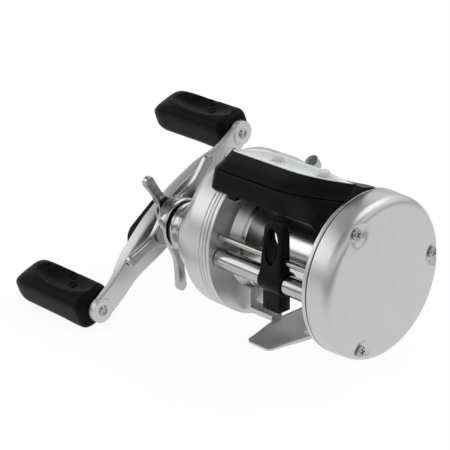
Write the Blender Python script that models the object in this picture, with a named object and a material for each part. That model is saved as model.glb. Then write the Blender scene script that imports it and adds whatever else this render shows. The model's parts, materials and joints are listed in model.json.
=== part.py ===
"""Round multiplying reel with level wind, star drag, double paddle handle and line counter.

Metres, +Z up. The origin is on the underside of the reel foot, below the middle of the spool.
+X points to the palm side, -X to the handle side, -Y to the rod tip.
"""
import math

import bmesh
import bpy
from mathutils import Matrix

MM = 0.001

# Clearances
SEAT_GAP = 0.3 * MM
RUN_GAP = 0.3 * MM
SINK = 0.5 * MM
WELD_DISTANCE = 0.002 * MM
MERGE_DISTANCE = 0.0001 * MM

# Facets round a turned piece
FINE = 32
MEDIUM = 20
COARSE = 10
TINY = 8

# Frame and foot
PLATE_RADIUS = 28.0 * MM
BAY_WIDTH = 41.8 * MM
RING_THICK = 1.5 * MM
BOSS_RADIUS = 18.9 * MM
BOSS_BORE = 15.5 * MM
BOSS_LENGTH = 3.7 * MM
BOSS_CHAMFER = 1.2 * MM
SHAFT_OPENING = 6.0 * MM
BAR_FRONT = 11.7 * MM
BAR_WIDTH = 5.0 * MM
BAR_THICK = 2.0 * MM
BAR_OPENING = 14.4 * MM
LUG_HEIGHT = 7.0 * MM
PILLAR_RADIUS = 2.6 * MM
PILLAR_INSET = 4.4 * MM
PILLAR_ANGLES = {"upper": 27.0, "lower": -28.0}
FOOT_RISE = 2.0 * MM
FOOT_THICK = 1.7 * MM
FOOT_TIP_THICK = 1.1 * MM
FOOT_DISH = 0.75 * MM
FOOT_TIP_DISH = 0.5 * MM
FOOT_RIM = 1.1 * MM
FOOT_WIDTH = 17.4 * MM
FOOT_TIP_WIDTH = 11.0 * MM
FOOT_LENGTH = 51.6 * MM
FOOT_TIP_RADIUS = 1.8 * MM
FOOT_TAPER_START = 5.85 * MM
FOOT_SHELF = 1.4 * MM
RIVET_RADIUS = 0.95 * MM
RIVET_HEAD = 1.7 * MM
RIVET_DOME = 0.75 * MM
RIVET_SPREAD = 6.0 * MM
RIVET_DEPTH = 0.9 * MM

# Side plates
PALM_DEPTH = 9.5 * MM
PALM_CROWN = 0.5 * MM
PALM_CROWN_RADIUS = 14.0 * MM
PALM_CORNER = 3.2 * MM
PALM_WALL = 1.6 * MM
PALM_FACE_WALL = 2.6 * MM
PALM_DRAFT = 0.3 * MM
PALM_INNER_CORNER = 2.0 * MM
PALM_BOSS = 6.6 * MM
PALM_BOSS_DROP = 1.5 * MM
GEAR_DEPTH = 14.4 * MM
GEAR_CORNER = 6.0 * MM
GEAR_WALL = 1.3 * MM
GEAR_FACE_WALL = 1.6 * MM
GROOVE_DEPTH = 0.35 * MM
GROOVE_WIDTH = 0.6 * MM
GROOVE_PITCH = 1.5 * MM
GROOVE_COUNT = 2
GROOVE_START = 0.9 * MM
SCREW_INSET = 3.7 * MM
PALM_SCREW_ANGLES = (125.2, 5.2, -114.8)
GEAR_SCREW_ANGLES = (100.0, 0.0, -100.0)
SCREW_HEAD = 1.9 * MM
SCREW_HEAD_HEIGHT = 1.1 * MM
SCREW_SHANK = 1.1 * MM
SCALLOP_RADIUS = 3.6 * MM
SCALLOP_DEPTH = 1.1 * MM
SCALLOP_FLARE = 0.8 * MM
GEAR_SCALLOP_DEPTH = 0.8 * MM

# Drive line: the handle axis lies in front of the spool axis
HANDLE_Y = -14.1 * MM
HANDLE_RISE = 0.2 * MM
MAIN_TEETH = 46
PINION_TEETH = 10
MAIN_WIDTH = 3.0 * MM
PINION_WIDTH = 4.4 * MM
TOOTH_TIP = 0.8
TOOTH_ROOT = 1.0
TOOTH_SLACK = 0.22
TOOTH_LEAN = math.radians(20.0)
MAIN_STANDOFF = 4.2 * MM
SHAFT_RADIUS = 3.0 * MM
DRAG_RADIUS = 8.0 * MM
DRAG_THICK = 0.9 * MM
PRESSURE_THICK = 1.2 * MM
DOME_EDGE = 0.7 * MM
DOME_TOP = 9.3 * MM
DOME_RISE = 3.5 * MM
DOME_CAVITY = 8.6 * MM
DOME_ROOF = 1.4 * MM
DOME_HOLLOW = 1.3
COLLAR_RADIUS = 8.9 * MM
COLLAR_LENGTH = 4.5 * MM
COLLAR_SPIGOT = 5.0 * MM
SEAL_OUTER = 8.6 * MM
SEAL_INNER = 6.5 * MM
SEAL_THICK = 0.8 * MM
COLLAR_BEVEL = 0.3 * MM
SHAFT_BLIND = 0.6 * MM

# Star drag
STAR_PRONGS = 5
STAR_ANGLE = 127.0
STAR_HUB = 9.3 * MM
STAR_BEVEL = 0.6 * MM
STAR_LENGTH = 5.5 * MM
STAR_REACH = 25.6 * MM
PRONG_ROOT = 4.2 * MM
PRONG_WAIST = 1.55 * MM
PRONG_TIP = 2.15 * MM
PRONG_THICK = 2.2 * MM
PRONG_SETBACK = 2.7 * MM
PRONG_SWEEP = 1.5 * MM
THREAD_RADIUS = 4.0 * MM

# Handle
ARM_ANGLE = math.radians(35.1)
ARM_REACH = 40.8 * MM
ARM_HUB_WIDTH = 14.6 * MM
ARM_NECK_WIDTH = 8.6 * MM
ARM_EYE_RADIUS = 4.4 * MM
ARM_HUB_THICK = 4.4 * MM
ARM_END_THICK = 2.4 * MM
ARM_SWEEP = 1.4 * MM
ARM_SWEEP_START = 20.0 * MM
ARM_SWEEP_END = 34.0 * MM
ARM_TAPER_START = 4.0 * MM
ARM_TAPER_END = 29.4 * MM
ARM_STATIONS = 9
ARM_GAP = 1.0 * MM
SEAT_RADIUS = 3.6 * MM
LOCK_LENGTH = 22.0 * MM
LOCK_WIDTH = 11.4 * MM
LOCK_THICK = 3.4 * MM
LOCK_SHIFT = -4.6 * MM
NUT_RADIUS = 4.4 * MM
NUT_HEIGHT = 4.8 * MM
NUT_CROWN = 0.8 * MM
NUT_BORE = 3.3 * MM
SPINDLE_RADIUS = 1.4 * MM
SPINDLE_HEAD = 1.9 * MM
SPINDLE_HEAD_HEIGHT = 0.6 * MM
KNOB_LENGTH = 37.7 * MM
KNOB_WIDTH = 14.2 * MM
KNOB_THICK = 11.6 * MM
KNOB_NECK = 0.96
KNOB_SWELL_END = 0.6
KNOB_SCOOP_START = 0.12
KNOB_SCOOP_END = 0.92
KNOB_SCOOP = 2.2 * MM
KNOB_TILT = math.radians(20.0)
KNOB_GAP = 0.4 * MM
KNOB_END_WALL = 4.0 * MM
KNOB_END_ROUND = 6.5 * MM
KNOB_END_TAPER = 0.40
KNOB_SQUARE = 0.52
KNOB_SIDES = 16
KNOB_STATIONS = 6
KNOB_NECK_ROUND = 1.4 * MM

# Spool
SPOOL_RADIUS = 17.9 * MM
SPOOL_GAP = 0.6 * MM
FLANGE_THICK = 1.5 * MM
ARBOR_RADIUS = 12.5 * MM
ARBOR_FILLET = 3.6 * MM
LIP_BEVEL = 0.3 * MM
FLANGE_COVE = 0.6 * MM
SPOOL_SHAFT = 2.0 * MM
SPOOL_JOURNAL = 1.25 * MM
SHAFT_STEP = 2.0 * MM
JOURNAL_REACH = 1.0 * MM
BRAKE_POCKET = 11.0 * MM
BRAKE_POCKET_DEPTH = 4.0 * MM
BRAKE_BLOCK = 2.4 * MM
BRAKE_BLOCK_LENGTH = 3.0 * MM
BRAKE_CIRCLE = 7.5 * MM
CARRIER_WALL = 1.5 * MM
CARRIER_DEPTH = 6.3 * MM
PALM_BEARING = 3.9 * MM
GEAR_BEARING = 3.4 * MM
BEARING_WIDTH = 2.4 * MM
BEARING_STANDOFF = 1.0 * MM
CAP_HUB = 5.0 * MM
CAP_HUB_DROP = 0.4 * MM
CAP_HUB_INSIDE = 1.5 * MM
CAP_HUB_FOOT = 0.7 * MM
CAP_RADIUS = 4.5 * MM
CAP_LENGTH = 4.6 * MM
CAP_SPIGOT = 2.4 * MM
CAP_RIBS = 18
CAP_RIB_DEPTH = 0.3 * MM

# Level wind
TUBE_Y = -22.7 * MM
TUBE_RISE = -1.4 * MM
TUBE_RADIUS = 3.2 * MM
TUBE_WALL = 0.7 * MM
TUBE_SLOT = 3.0 * MM
SLOT_MARGIN = 3.4 * MM
ROD_Y = -22.9 * MM
ROD_RISE = 6.2 * MM
ROD_RADIUS = 1.05 * MM
WORM_RADIUS = 2.1 * MM
WORM_JOURNAL = 1.6 * MM
WIND_TEETH = 20
WORM_TEETH = 11
WIND_WIDTH = 2.4 * MM
WIND_STANDOFF = 1.5 * MM
GUIDE_OFFSET = 5.2 * MM
GUIDE_TOP = 19.7 * MM
GUIDE_TOP_RADIUS = 4.05 * MM
GUIDE_WAIST = 4.6 * MM
GUIDE_FRONT = 2.1 * MM
GUIDE_BACK = 2.1 * MM
GUIDE_HUB_RADIUS = 4.3 * MM
GUIDE_HUB_LENGTH = 9.8 * MM
GUIDE_BLOCK_WIDTH = 7.4 * MM
GUIDE_BLOCK_DEPTH = 5.4 * MM
GUIDE_BLOCK_BOTTOM = -11.4 * MM
GUIDE_BEVEL = 0.7 * MM
EYE_HEIGHT = 6.4 * MM
EYE_WIDTH = 2.8 * MM
EYE_DROP = 6.2 * MM
DISH_HEIGHT = 12.6 * MM
DISH_WIDTH = 5.8 * MM
DISH_DEPTH = 2.0 * MM
DISH_LIFT = 0.8 * MM
DISH_WIDER = 1.1
PAWL_RADIUS = 1.1 * MM
PAWL_LENGTH = 4.6 * MM
PAWL_CAP_PLUG = 1.8 * MM
PAWL_CAP_RECESS = 0.2 * MM

# Counter housing
COUNTER_OVERHANG = 6.7 * MM
COUNTER_UNDER_DROP = 7.4 * MM
COUNTER_SEAM_DROP = 1.0 * MM
COUNTER_RISE = 4.2 * MM
COUNTER_REAR_RISE = 1.8 * MM
COUNTER_FRONT_LOW = 20.3 * MM
COUNTER_FRONT_SEAM = 18.7 * MM
COUNTER_FRONT_TOP = 12.4 * MM
COUNTER_REAR = 2.6 * MM
COUNTER_REAR_LEAN = 1.4 * MM
COUNTER_SWEEP = 7.2 * MM
COUNTER_SWEEP_START = -1.0 * MM
COUNTER_TOP_DROP = 0.9 * MM
COUNTER_CORNER = 3.4 * MM
COUNTER_REAR_CORNER = 8.0 * MM
COUNTER_LEAN = 2.0 * MM
COUNTER_HOLLOW = 1.3 * MM
COUNTER_WALL = 2.0 * MM
COUNTER_STEP = 0.5 * MM
COUNTER_LEG = 1.8 * MM
COUNTER_LEG_RUN = 4.0 * MM
COUNTER_UNDERCUT = 2.0 * MM
COUNTER_REAR_BEVEL = 1.0 * MM
COUNTER_SWEEP_POWER = 1.7
COUNTER_TOP_SWEEP = 0.88
WINDOW_BORDER = 0.9 * MM
WINDOW_THICK = 0.9 * MM
WINDOW_PROUD = 0.2 * MM
WINDOW_LEFT = 1.5 * MM
WINDOW_RIGHT = 1.5 * MM
WINDOW_STATIONS = 12
BUTTON_LEFT_INSET = 19.2 * MM
BUTTON_RIGHT_INSET = 10.7 * MM
BUTTON_Y = -6.2 * MM
BUTTON_RADIUS = 1.95 * MM
BUTTON_PROUD = 2.4 * MM
BUTTON_FLANGE = 2.7 * MM
BUTTON_FLANGE_THICK = 0.6 * MM
BUTTON_BEVEL = 0.5 * MM
POCKET_LEFT_INSET = 5.9 * MM
POCKET_RIGHT_INSET = 6.6 * MM
POCKET_FRONT = -10.6 * MM
POCKET_REAR = -1.6 * MM
POCKET_FLOOR = 1.5 * MM
BOARD_THICK = 1.0 * MM
CELL_RADIUS = 4.0 * MM
CELL_THICK = 2.0 * MM

# Free spool thumb lever
LEVER_ANGLE = math.radians(35.0)
LEVER_INSET = 3.1 * MM
LEVER_TRAVEL = 4.0 * MM
LEVER_THICK = 1.6 * MM
LEVER_SET = 0.9 * MM
LEVER_WIDTH = 3.2 * MM
LEVER_TAB_WIDTH = 5.2 * MM
LEVER_TAB_LENGTH = 5.4 * MM
LEVER_TAB_DEPTH = 3.6 * MM
LEVER_STANDOFF = 1.6 * MM
LEVER_INNER = 2.0 * MM

# Places worked out from the sizes above
AXIS_Z = PLATE_RADIUS - FOOT_RISE
SPOOL_AXIS = (0.0, AXIS_Z)
HANDLE_AXIS = (HANDLE_Y, AXIS_Z + HANDLE_RISE)
TUBE_AXIS = (TUBE_Y, AXIS_Z + TUBE_RISE)
ROD_AXIS = (ROD_Y, AXIS_Z + ROD_RISE)
BAY_PALM = BAY_WIDTH / 2
BAY_GEAR = -BAY_WIDTH / 2
BOSS_END = BAY_GEAR + BOSS_LENGTH
PALM_SEAT = BAY_PALM + RING_THICK + SEAT_GAP
PALM_FACE = PALM_SEAT + PALM_DEPTH
GEAR_SEAT = BAY_GEAR - RING_THICK - SEAT_GAP
GEAR_FACE = GEAR_SEAT - GEAR_DEPTH
GEAR_INNER = GEAR_FACE + GEAR_FACE_WALL
DOME_END = GEAR_FACE - DOME_RISE
COLLAR_START = DOME_END - SEAT_GAP
COLLAR_END = COLLAR_START - COLLAR_LENGTH
SPIGOT_END = COLLAR_END - SEAL_THICK - 2 * SEAT_GAP
STAR_START = SPIGOT_END - RUN_GAP
STAR_END = STAR_START - STAR_LENGTH
ARM_INNER = STAR_END - ARM_GAP
ARM_OUTER = ARM_INNER - ARM_HUB_THICK
ARM_END_INNER = ARM_INNER + ARM_SWEEP
ARM_END_OUTER = ARM_END_INNER - ARM_END_THICK
KNOB_START = ARM_END_OUTER - KNOB_GAP
KNOB_END = KNOB_START - KNOB_LENGTH
LOCK_START = ARM_OUTER - SEAT_GAP
NUT_END = LOCK_START - NUT_HEIGHT
SPOOL_HALF = -BOSS_END - SPOOL_GAP
MAIN_START = GEAR_INNER + MAIN_STANDOFF
MAIN_END = MAIN_START + MAIN_WIDTH
PINION_START = MAIN_START - (PINION_WIDTH - MAIN_WIDTH) / 2
DRAG_START = MAIN_START - SEAT_GAP
DRAG_END = DRAG_START - DRAG_THICK
PRESSURE_START = DRAG_END - SEAT_GAP
PRESSURE_END = PRESSURE_START - PRESSURE_THICK
WIND_START = GEAR_SEAT - WIND_STANDOFF
FLOOR_UNDER = FOOT_THICK + SEAT_GAP
FLOOR_TOP = FLOOR_UNDER + BAR_THICK
BAY_STOP = BAY_PALM - SEAT_GAP
PILLAR_CIRCLE = PLATE_RADIUS - PILLAR_INSET
SCREW_CIRCLE = PLATE_RADIUS - SCREW_INSET
DOME_BASE = PLATE_RADIUS + HANDLE_Y - DOME_EDGE
LEVER_X = GEAR_SEAT - LEVER_INSET
COUNTER_LEFT = GEAR_SEAT - COUNTER_OVERHANG
COUNTER_UNDER = PLATE_RADIUS - COUNTER_UNDER_DROP
COUNTER_SEAM = PLATE_RADIUS - COUNTER_SEAM_DROP
COUNTER_TOP = PLATE_RADIUS + COUNTER_RISE
COUNTER_REAR_TOP = PLATE_RADIUS + COUNTER_REAR_RISE
POCKET_LEFT = BAY_GEAR + POCKET_LEFT_INSET
POCKET_RIGHT = BAY_STOP - POCKET_RIGHT_INSET
BUTTON_SPOTS = {"left": COUNTER_LEFT + BUTTON_LEFT_INSET, "right": BAY_STOP - BUTTON_RIGHT_INSET}
PALM_BOSS_END = PALM_SEAT + PALM_BOSS_DROP
COVER_ROOF = AXIS_Z + COUNTER_SEAM + COUNTER_WALL - SEAT_GAP
GEAR_DISTANCE = math.hypot(HANDLE_Y, HANDLE_RISE)
GEAR_MODULE = 2 * GEAR_DISTANCE / (MAIN_TEETH + PINION_TEETH)
WIND_DISTANCE = math.hypot(TUBE_Y - HANDLE_Y, TUBE_RISE - HANDLE_RISE)
WIND_MODULE = 2 * WIND_DISTANCE / (WIND_TEETH + WORM_TEETH)


def clear_scene():
    """Remove every object that the file opened with."""
    for old in list(bpy.data.objects):
        bpy.data.objects.remove(old, do_unlink=True)


def finish(name, colour, roughness, metallic):
    """Make a Principled material."""
    made = bpy.data.materials.new(name)
    made.use_nodes = True
    shader = made.node_tree.nodes["Principled BSDF"]
    shader.inputs["Base Color"].default_value = (*colour, 1.0)
    shader.inputs["Roughness"].default_value = roughness
    shader.inputs["Metallic"].default_value = metallic
    return made


def make_object(name, bm, material, parent=None, sharp=35.0):
    """Turn a bmesh into a named object, with its faces out and its round faces smooth."""
    bmesh.ops.remove_doubles(bm, verts=bm.verts, dist=MERGE_DISTANCE)
    bmesh.ops.recalc_face_normals(bm, faces=bm.faces)
    mesh = bpy.data.meshes.new(name)
    bm.to_mesh(mesh)
    bm.free()
    mesh.shade_smooth()
    mesh.set_sharp_from_angle(angle=math.radians(sharp))
    made = bpy.data.objects.new(name, mesh)
    bpy.context.collection.objects.link(made)
    if material is not None:
        mesh.materials.append(material)
    if parent is not None:
        made.parent = parent
        made.matrix_parent_inverse = Matrix.Translation(-parent.location)
    return made


def pivot(name, x, axis):
    """Add an empty on a joint's axis, to carry the pieces that move there."""
    made = bpy.data.objects.new(name, None)
    made.location = (x, axis[0], axis[1])
    bpy.context.collection.objects.link(made)
    return made


def profile_edges(bm, verts, profile):
    """Edges of a closed (place, radius) profile, apart from any that lie on the axis."""
    count = len(profile)
    pairs = [(k, (k + 1) % count) for k in range(count)]
    off_axis = [(a, b) for a, b in pairs if profile[a][1] > 0 or profile[b][1] > 0]
    return [bm.edges.new((verts[a], verts[b])) for a, b in off_axis]


def turned(name, profile, axis, material=None, parent=None, steps=MEDIUM):
    """Spin a closed (x, radius) profile round a line along X through axis = (y, z)."""
    bm = bmesh.new()
    verts = [bm.verts.new((x, axis[0], axis[1] + radius)) for x, radius in profile]
    edges = profile_edges(bm, verts, profile)
    bmesh.ops.spin(bm, geom=verts + edges, cent=(0, axis[0], axis[1]), axis=(1, 0, 0),
                   angle=2 * math.pi, steps=steps, use_duplicate=False)
    bmesh.ops.dissolve_degenerate(bm, edges=bm.edges, dist=MERGE_DISTANCE)
    return make_object(name, bm, material, parent)


def ring(x_a, x_b, inner, outer):
    """Profile of a plain ring, or of a disc where the inner radius is nothing."""
    return [(x_a, inner), (x_a, outer), (x_b, outer), (x_b, inner)]


def loft(name, sections, material=None, parent=None, sharp=35.0):
    """Skin a row of sections with as many points each, and close both ends."""
    bm = bmesh.new()
    rows = [[bm.verts.new(point) for point in section] for section in sections]
    for low, high in zip(rows, rows[1:]):
        for k in range(len(low)):
            n = (k + 1) % len(low)
            bm.faces.new((low[k], low[n], high[n], high[k]))
    bm.faces.new(rows[0])
    bm.faces.new(rows[-1])
    bm.normal_update()
    bmesh.ops.triangulate(bm, faces=[f for f in bm.faces if len(f.verts) > 4])
    return make_object(name, bm, material, parent, sharp)


def prism(name, outline, x_a, x_b, axis=(0.0, 0.0), material=None, parent=None):
    """Extrude a (y, z) outline round axis along X."""
    sections = [[(x, axis[0] + y, axis[1] + z) for y, z in outline] for x in (x_a, x_b)]
    return loft(name, sections, material, parent)


def block(name, low, high, material=None, parent=None):
    """A box between two corners."""
    outline = [(low[1], low[2]), (high[1], low[2]), (high[1], high[2]), (low[1], high[2])]
    return prism(name, outline, low[0], high[0], material=material, parent=parent)


def upright(name, profile, centre, material=None, parent=None, steps=COARSE):
    """Spin a closed (height, radius) profile round a vertical line through centre = (x, y)."""
    bm = bmesh.new()
    verts = [bm.verts.new((centre[0] + radius, centre[1], z)) for z, radius in profile]
    edges = profile_edges(bm, verts, profile)
    bmesh.ops.spin(bm, geom=verts + edges, cent=(*centre, 0), axis=(0, 0, 1),
                   angle=2 * math.pi, steps=steps, use_duplicate=False)
    bmesh.ops.dissolve_degenerate(bm, edges=bm.edges, dist=MERGE_DISTANCE)
    return make_object(name, bm, material, parent)


def combine(target, tool, operation):
    """Add a Boolean with a hidden tool."""
    tool.hide_render = True
    tool.display_type = "WIRE"
    step = target.modifiers.new(tool.name, "BOOLEAN")
    step.operation = operation
    step.object = tool
    step.solver = "EXACT"


def cut(target, *tools):
    """Cut each tool out of a piece."""
    for tool in tools:
        combine(target, tool, "DIFFERENCE")


def join(target, *tools):
    """Fuse each tool into a piece."""
    for tool in tools:
        combine(target, tool, "UNION")


def weld_cuts():
    """Merge the doubled points that Booleans leave on their seams."""
    for piece in list(bpy.data.objects):
        if any(step.type == "BOOLEAN" for step in piece.modifiers):
            weld = piece.modifiers.new("weld_seams", "WELD")
            weld.merge_threshold = WELD_DISTANCE


def soften(target, width, angle):
    """Bevel a piece's sharp edges."""
    step = target.modifiers.new("soft_edges", "BEVEL")
    step.width = width
    step.segments = 1
    step.limit_method = "ANGLE"
    step.angle_limit = math.radians(angle)


def smoothstep(low, high, value):
    """Ease from 0 to 1 as value goes from low to high."""
    share = min(max((value - low) / (high - low), 0.0), 1.0)
    return share * share * (3 - 2 * share)


def arc(centre_x, centre_r, radius, start, end, count):
    """Points of an arc in a profile, with angles in degrees from +X towards a larger radius."""
    angles = [math.radians(start + (end - start) * k / count) for k in range(count + 1)]
    return [(centre_x + radius * math.cos(a), centre_r + radius * math.sin(a)) for a in angles]


def on_circle(radius, degrees, axis=SPOOL_AXIS):
    """The (y, z) place at an angle from +Y towards +Z round an axis."""
    angle = math.radians(degrees)
    return (axis[0] + radius * math.cos(angle), axis[1] + radius * math.sin(angle))


def gear_outline(teeth, module, phase):
    """A spur gear's (y, z) outline with straight-flanked stub teeth and running backlash."""
    pitch = teeth * module / 2
    half = math.pi / (2 * teeth) * (1 - TOOTH_SLACK)
    tip = pitch + TOOTH_TIP * module
    root = pitch - TOOTH_ROOT * module
    tip_half = half - math.tan(TOOTH_LEAN) * TOOTH_TIP * module / pitch
    root_half = half + math.tan(TOOTH_LEAN) * TOOTH_ROOT * module / pitch
    corners = ((root, -root_half), (tip, -tip_half), (tip, tip_half), (root, root_half))
    middles = [phase + 2 * math.pi * k / teeth for k in range(teeth)]
    return [(r * math.cos(a + turn), r * math.sin(a + turn)) for a in middles for r, turn in corners]


def spur_gear(name, teeth, module, phase, x_a, x_b, axis, bore, material, parent):
    """A spur gear with a round bore."""
    gear = prism(name, gear_outline(teeth, module, phase), x_a, x_b, axis, material, parent)
    low, high = min(x_a, x_b) - SINK, max(x_a, x_b) + SINK
    cut(gear, turned(name + "_bore", ring(low, high, 0, bore), axis, steps=COARSE))
    return gear


def build_frame(silver):
    """Two end rings, joined below the spool by a rear bar, with front stubs that rest on the foot."""
    outer = BAY_GEAR - RING_THICK
    gear_ring = [(outer, SHAFT_OPENING), (outer, PLATE_RADIUS), (BAY_GEAR, PLATE_RADIUS),
                 (BAY_GEAR, BOSS_RADIUS), (BOSS_END - BOSS_CHAMFER, BOSS_RADIUS),
                 (BOSS_END, BOSS_RADIUS - BOSS_CHAMFER), (BOSS_END, BOSS_BORE),
                 (BAY_GEAR, BOSS_BORE), (BAY_GEAR, SHAFT_OPENING)]
    frame = turned("frame", gear_ring, SPOOL_AXIS, silver, steps=FINE)
    opening = SPOOL_RADIUS + SPOOL_GAP
    palm_ring = ring(BAY_PALM, BAY_PALM + RING_THICK, opening, PLATE_RADIUS)
    join(frame, turned("frame_palm_ring", palm_ring, SPOOL_AXIS, steps=FINE))
    back = BAR_FRONT - BAR_WIDTH
    gear_side, palm_side = BAY_GEAR - SINK, BAY_PALM + SINK
    join(frame, block("frame_rear_bar", (gear_side, back, FLOOR_UNDER), (palm_side, BAR_FRONT, FLOOR_TOP)))
    stubs = {"gear": (gear_side, -BAR_OPENING / 2), "palm": (BAR_OPENING / 2, palm_side)}
    for name, (x_a, x_b) in stubs.items():
        join(frame, block("frame_stub_" + name, (x_a, -BAR_FRONT, FLOOR_UNDER), (x_b, -back, FLOOR_TOP)))
    lug_low = (BAY_GEAR - SINK, -BAR_FRONT, FLOOR_TOP - SINK)
    lug_high = (BOSS_END - SEAT_GAP, BAR_FRONT, FLOOR_TOP + LUG_HEIGHT)
    lug = block("frame_lug", lug_low, lug_high)
    lug_bore = (BOSS_BORE + BOSS_RADIUS) / 2 - BOSS_CHAMFER
    cut(lug, turned("frame_lug_bore", ring(BAY_GEAR - 2 * SINK, 0, 0, lug_bore), SPOOL_AXIS))
    join(frame, lug)
    worm_hole = WORM_JOURNAL + RUN_GAP
    cut(frame, turned("frame_worm_hole", ring(outer - SINK, BAY_GEAR + SINK, 0, worm_hole), TUBE_AXIS))
    shaft_hole = ring(outer - SINK, BAY_GEAR - SHAFT_BLIND, 0, SHAFT_RADIUS + RUN_GAP)
    cut(frame, turned("frame_shaft_hole", shaft_hole, HANDLE_AXIS))
    for k, angle in enumerate(PALM_SCREW_ANGLES):
        hole = ring(BAY_PALM - SINK, PALM_SEAT, 0, SCREW_SHANK + SEAT_GAP)
        cut(frame, turned(f"frame_palm_hole_{k}", hole, on_circle(SCREW_CIRCLE, angle), steps=TINY))
    for k, angle in enumerate(GEAR_SCREW_ANGLES):
        hole = ring(GEAR_SEAT, BAY_GEAR + SINK, 0, SCREW_SHANK + SEAT_GAP)
        cut(frame, turned(f"frame_gear_hole_{k}", hole, on_circle(SCREW_CIRCLE, angle), steps=TINY))
    for k, spot in enumerate(rivet_spots()):
        hole = [(FLOOR_UNDER - SINK, 0), (FLOOR_UNDER - SINK, RIVET_RADIUS + SEAT_GAP),
                (FLOOR_TOP + SINK, RIVET_RADIUS + SEAT_GAP), (FLOOR_TOP + SINK, 0)]
        cut(frame, upright(f"frame_rivet_hole_{k}", hole, spot, steps=TINY))


def build_pillars(chrome):
    """Two round rear pillars between the rings."""
    for name, angle in PILLAR_ANGLES.items():
        profile = ring(BAY_GEAR + SEAT_GAP, BAY_PALM - SEAT_GAP, 0, PILLAR_RADIUS)
        turned("rear_pillar_" + name, profile, on_circle(PILLAR_CIRCLE, angle), chrome, steps=COARSE)


def rivet_spots():
    """Places of the two foot rivets through the rear bar."""
    return [(side * RIVET_SPREAD, BAR_FRONT - BAR_WIDTH / 2) for side in (-1, 1)]


def foot_half_width(y):
    """Half the foot's width: parallel under the bars, tapered tongues, rounded tips."""
    half_length = FOOT_LENGTH / 2
    share = smoothstep(FOOT_TAPER_START, half_length, abs(y))
    half = (FOOT_WIDTH + (FOOT_TIP_WIDTH - FOOT_WIDTH) * share) / 2
    past = abs(y) - (half_length - FOOT_TIP_RADIUS)
    if past > 0:
        half -= FOOT_TIP_RADIUS - math.sqrt(max(FOOT_TIP_RADIUS ** 2 - past ** 2, 0))
    return half


def build_foot(silver):
    """Flat-bottomed foot with a trough from tip to tip, riveted under the rear bar."""
    half_length = FOOT_LENGTH / 2
    seat = FOOT_THICK
    inner = [0.0, FOOT_TAPER_START, BAR_FRONT, BAR_FRONT + FOOT_SHELF]
    span = half_length - FOOT_TIP_RADIUS - inner[-1]
    tongue = [inner[-1] + span * k / 3 for k in range(1, 4)]
    rounding = [half_length - FOOT_TIP_RADIUS * (1 - math.sin(math.radians(a))) for a in (30, 60, 90)]
    half = inner + tongue + rounding
    sections = []
    for y in [-v for v in reversed(half)] + half[1:]:
        share = smoothstep(BAR_FRONT, half_length, abs(y))
        top = seat + (FOOT_TIP_THICK - seat) * share
        dish = FOOT_DISH + (FOOT_TIP_DISH - FOOT_DISH) * share
        w = foot_half_width(y)
        trough = [((w - FOOT_RIM) * u, y, top - dish * (1 - u * u)) for u in (1, 0.7, 0.35, -0.35, -0.7, -1)]
        sections.append([(-w, y, 0), (w, y, 0), (w, y, top)] + trough + [(-w, y, top)])
    foot = loft("foot", sections, silver)
    for k, spot in enumerate(rivet_spots()):
        depth = seat - RIVET_DEPTH - SEAT_GAP
        hole = [(depth, 0), (depth, RIVET_RADIUS + SEAT_GAP), (seat + SINK, RIVET_RADIUS + SEAT_GAP),
                (seat + SINK, 0)]
        cut(foot, upright(f"foot_rivet_hole_{k}", hole, spot, steps=TINY))


def build_rivets(steel):
    """Round-head rivets that hold the foot to the bars."""
    under = FLOOR_TOP + SEAT_GAP
    bottom = FLOOR_UNDER - SEAT_GAP - RIVET_DEPTH
    for k, spot in enumerate(rivet_spots()):
        profile = [(bottom, 0), (bottom, RIVET_RADIUS), (under, RIVET_RADIUS), (under, RIVET_HEAD),
                   (under + 0.5 * RIVET_DOME, 0.85 * RIVET_HEAD),
                   (under + 0.9 * RIVET_DOME, 0.4 * RIVET_HEAD), (under + RIVET_DOME, 0)]
        upright(f"foot_rivet_{k + 1}", profile, spot, steel, steps=TINY)


def plate_screws(side, angles, face, reach, prefix, steel):
    """Pan-head screws through a side plate into the frame's ring."""
    head = face + side * SEAT_GAP
    top = head + side * SCREW_HEAD_HEIGHT
    for k, angle in enumerate(angles):
        profile = [(reach, 0), (reach, SCREW_SHANK), (head, SCREW_SHANK), (head, SCREW_HEAD),
                   (head + side * 0.6 * SCREW_HEAD_HEIGHT, SCREW_HEAD), (top, 0.6 * SCREW_HEAD), (top, 0)]
        turned(f"{prefix}_{k + 1}", profile, on_circle(SCREW_CIRCLE, angle), steel, steps=COARSE)


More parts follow.
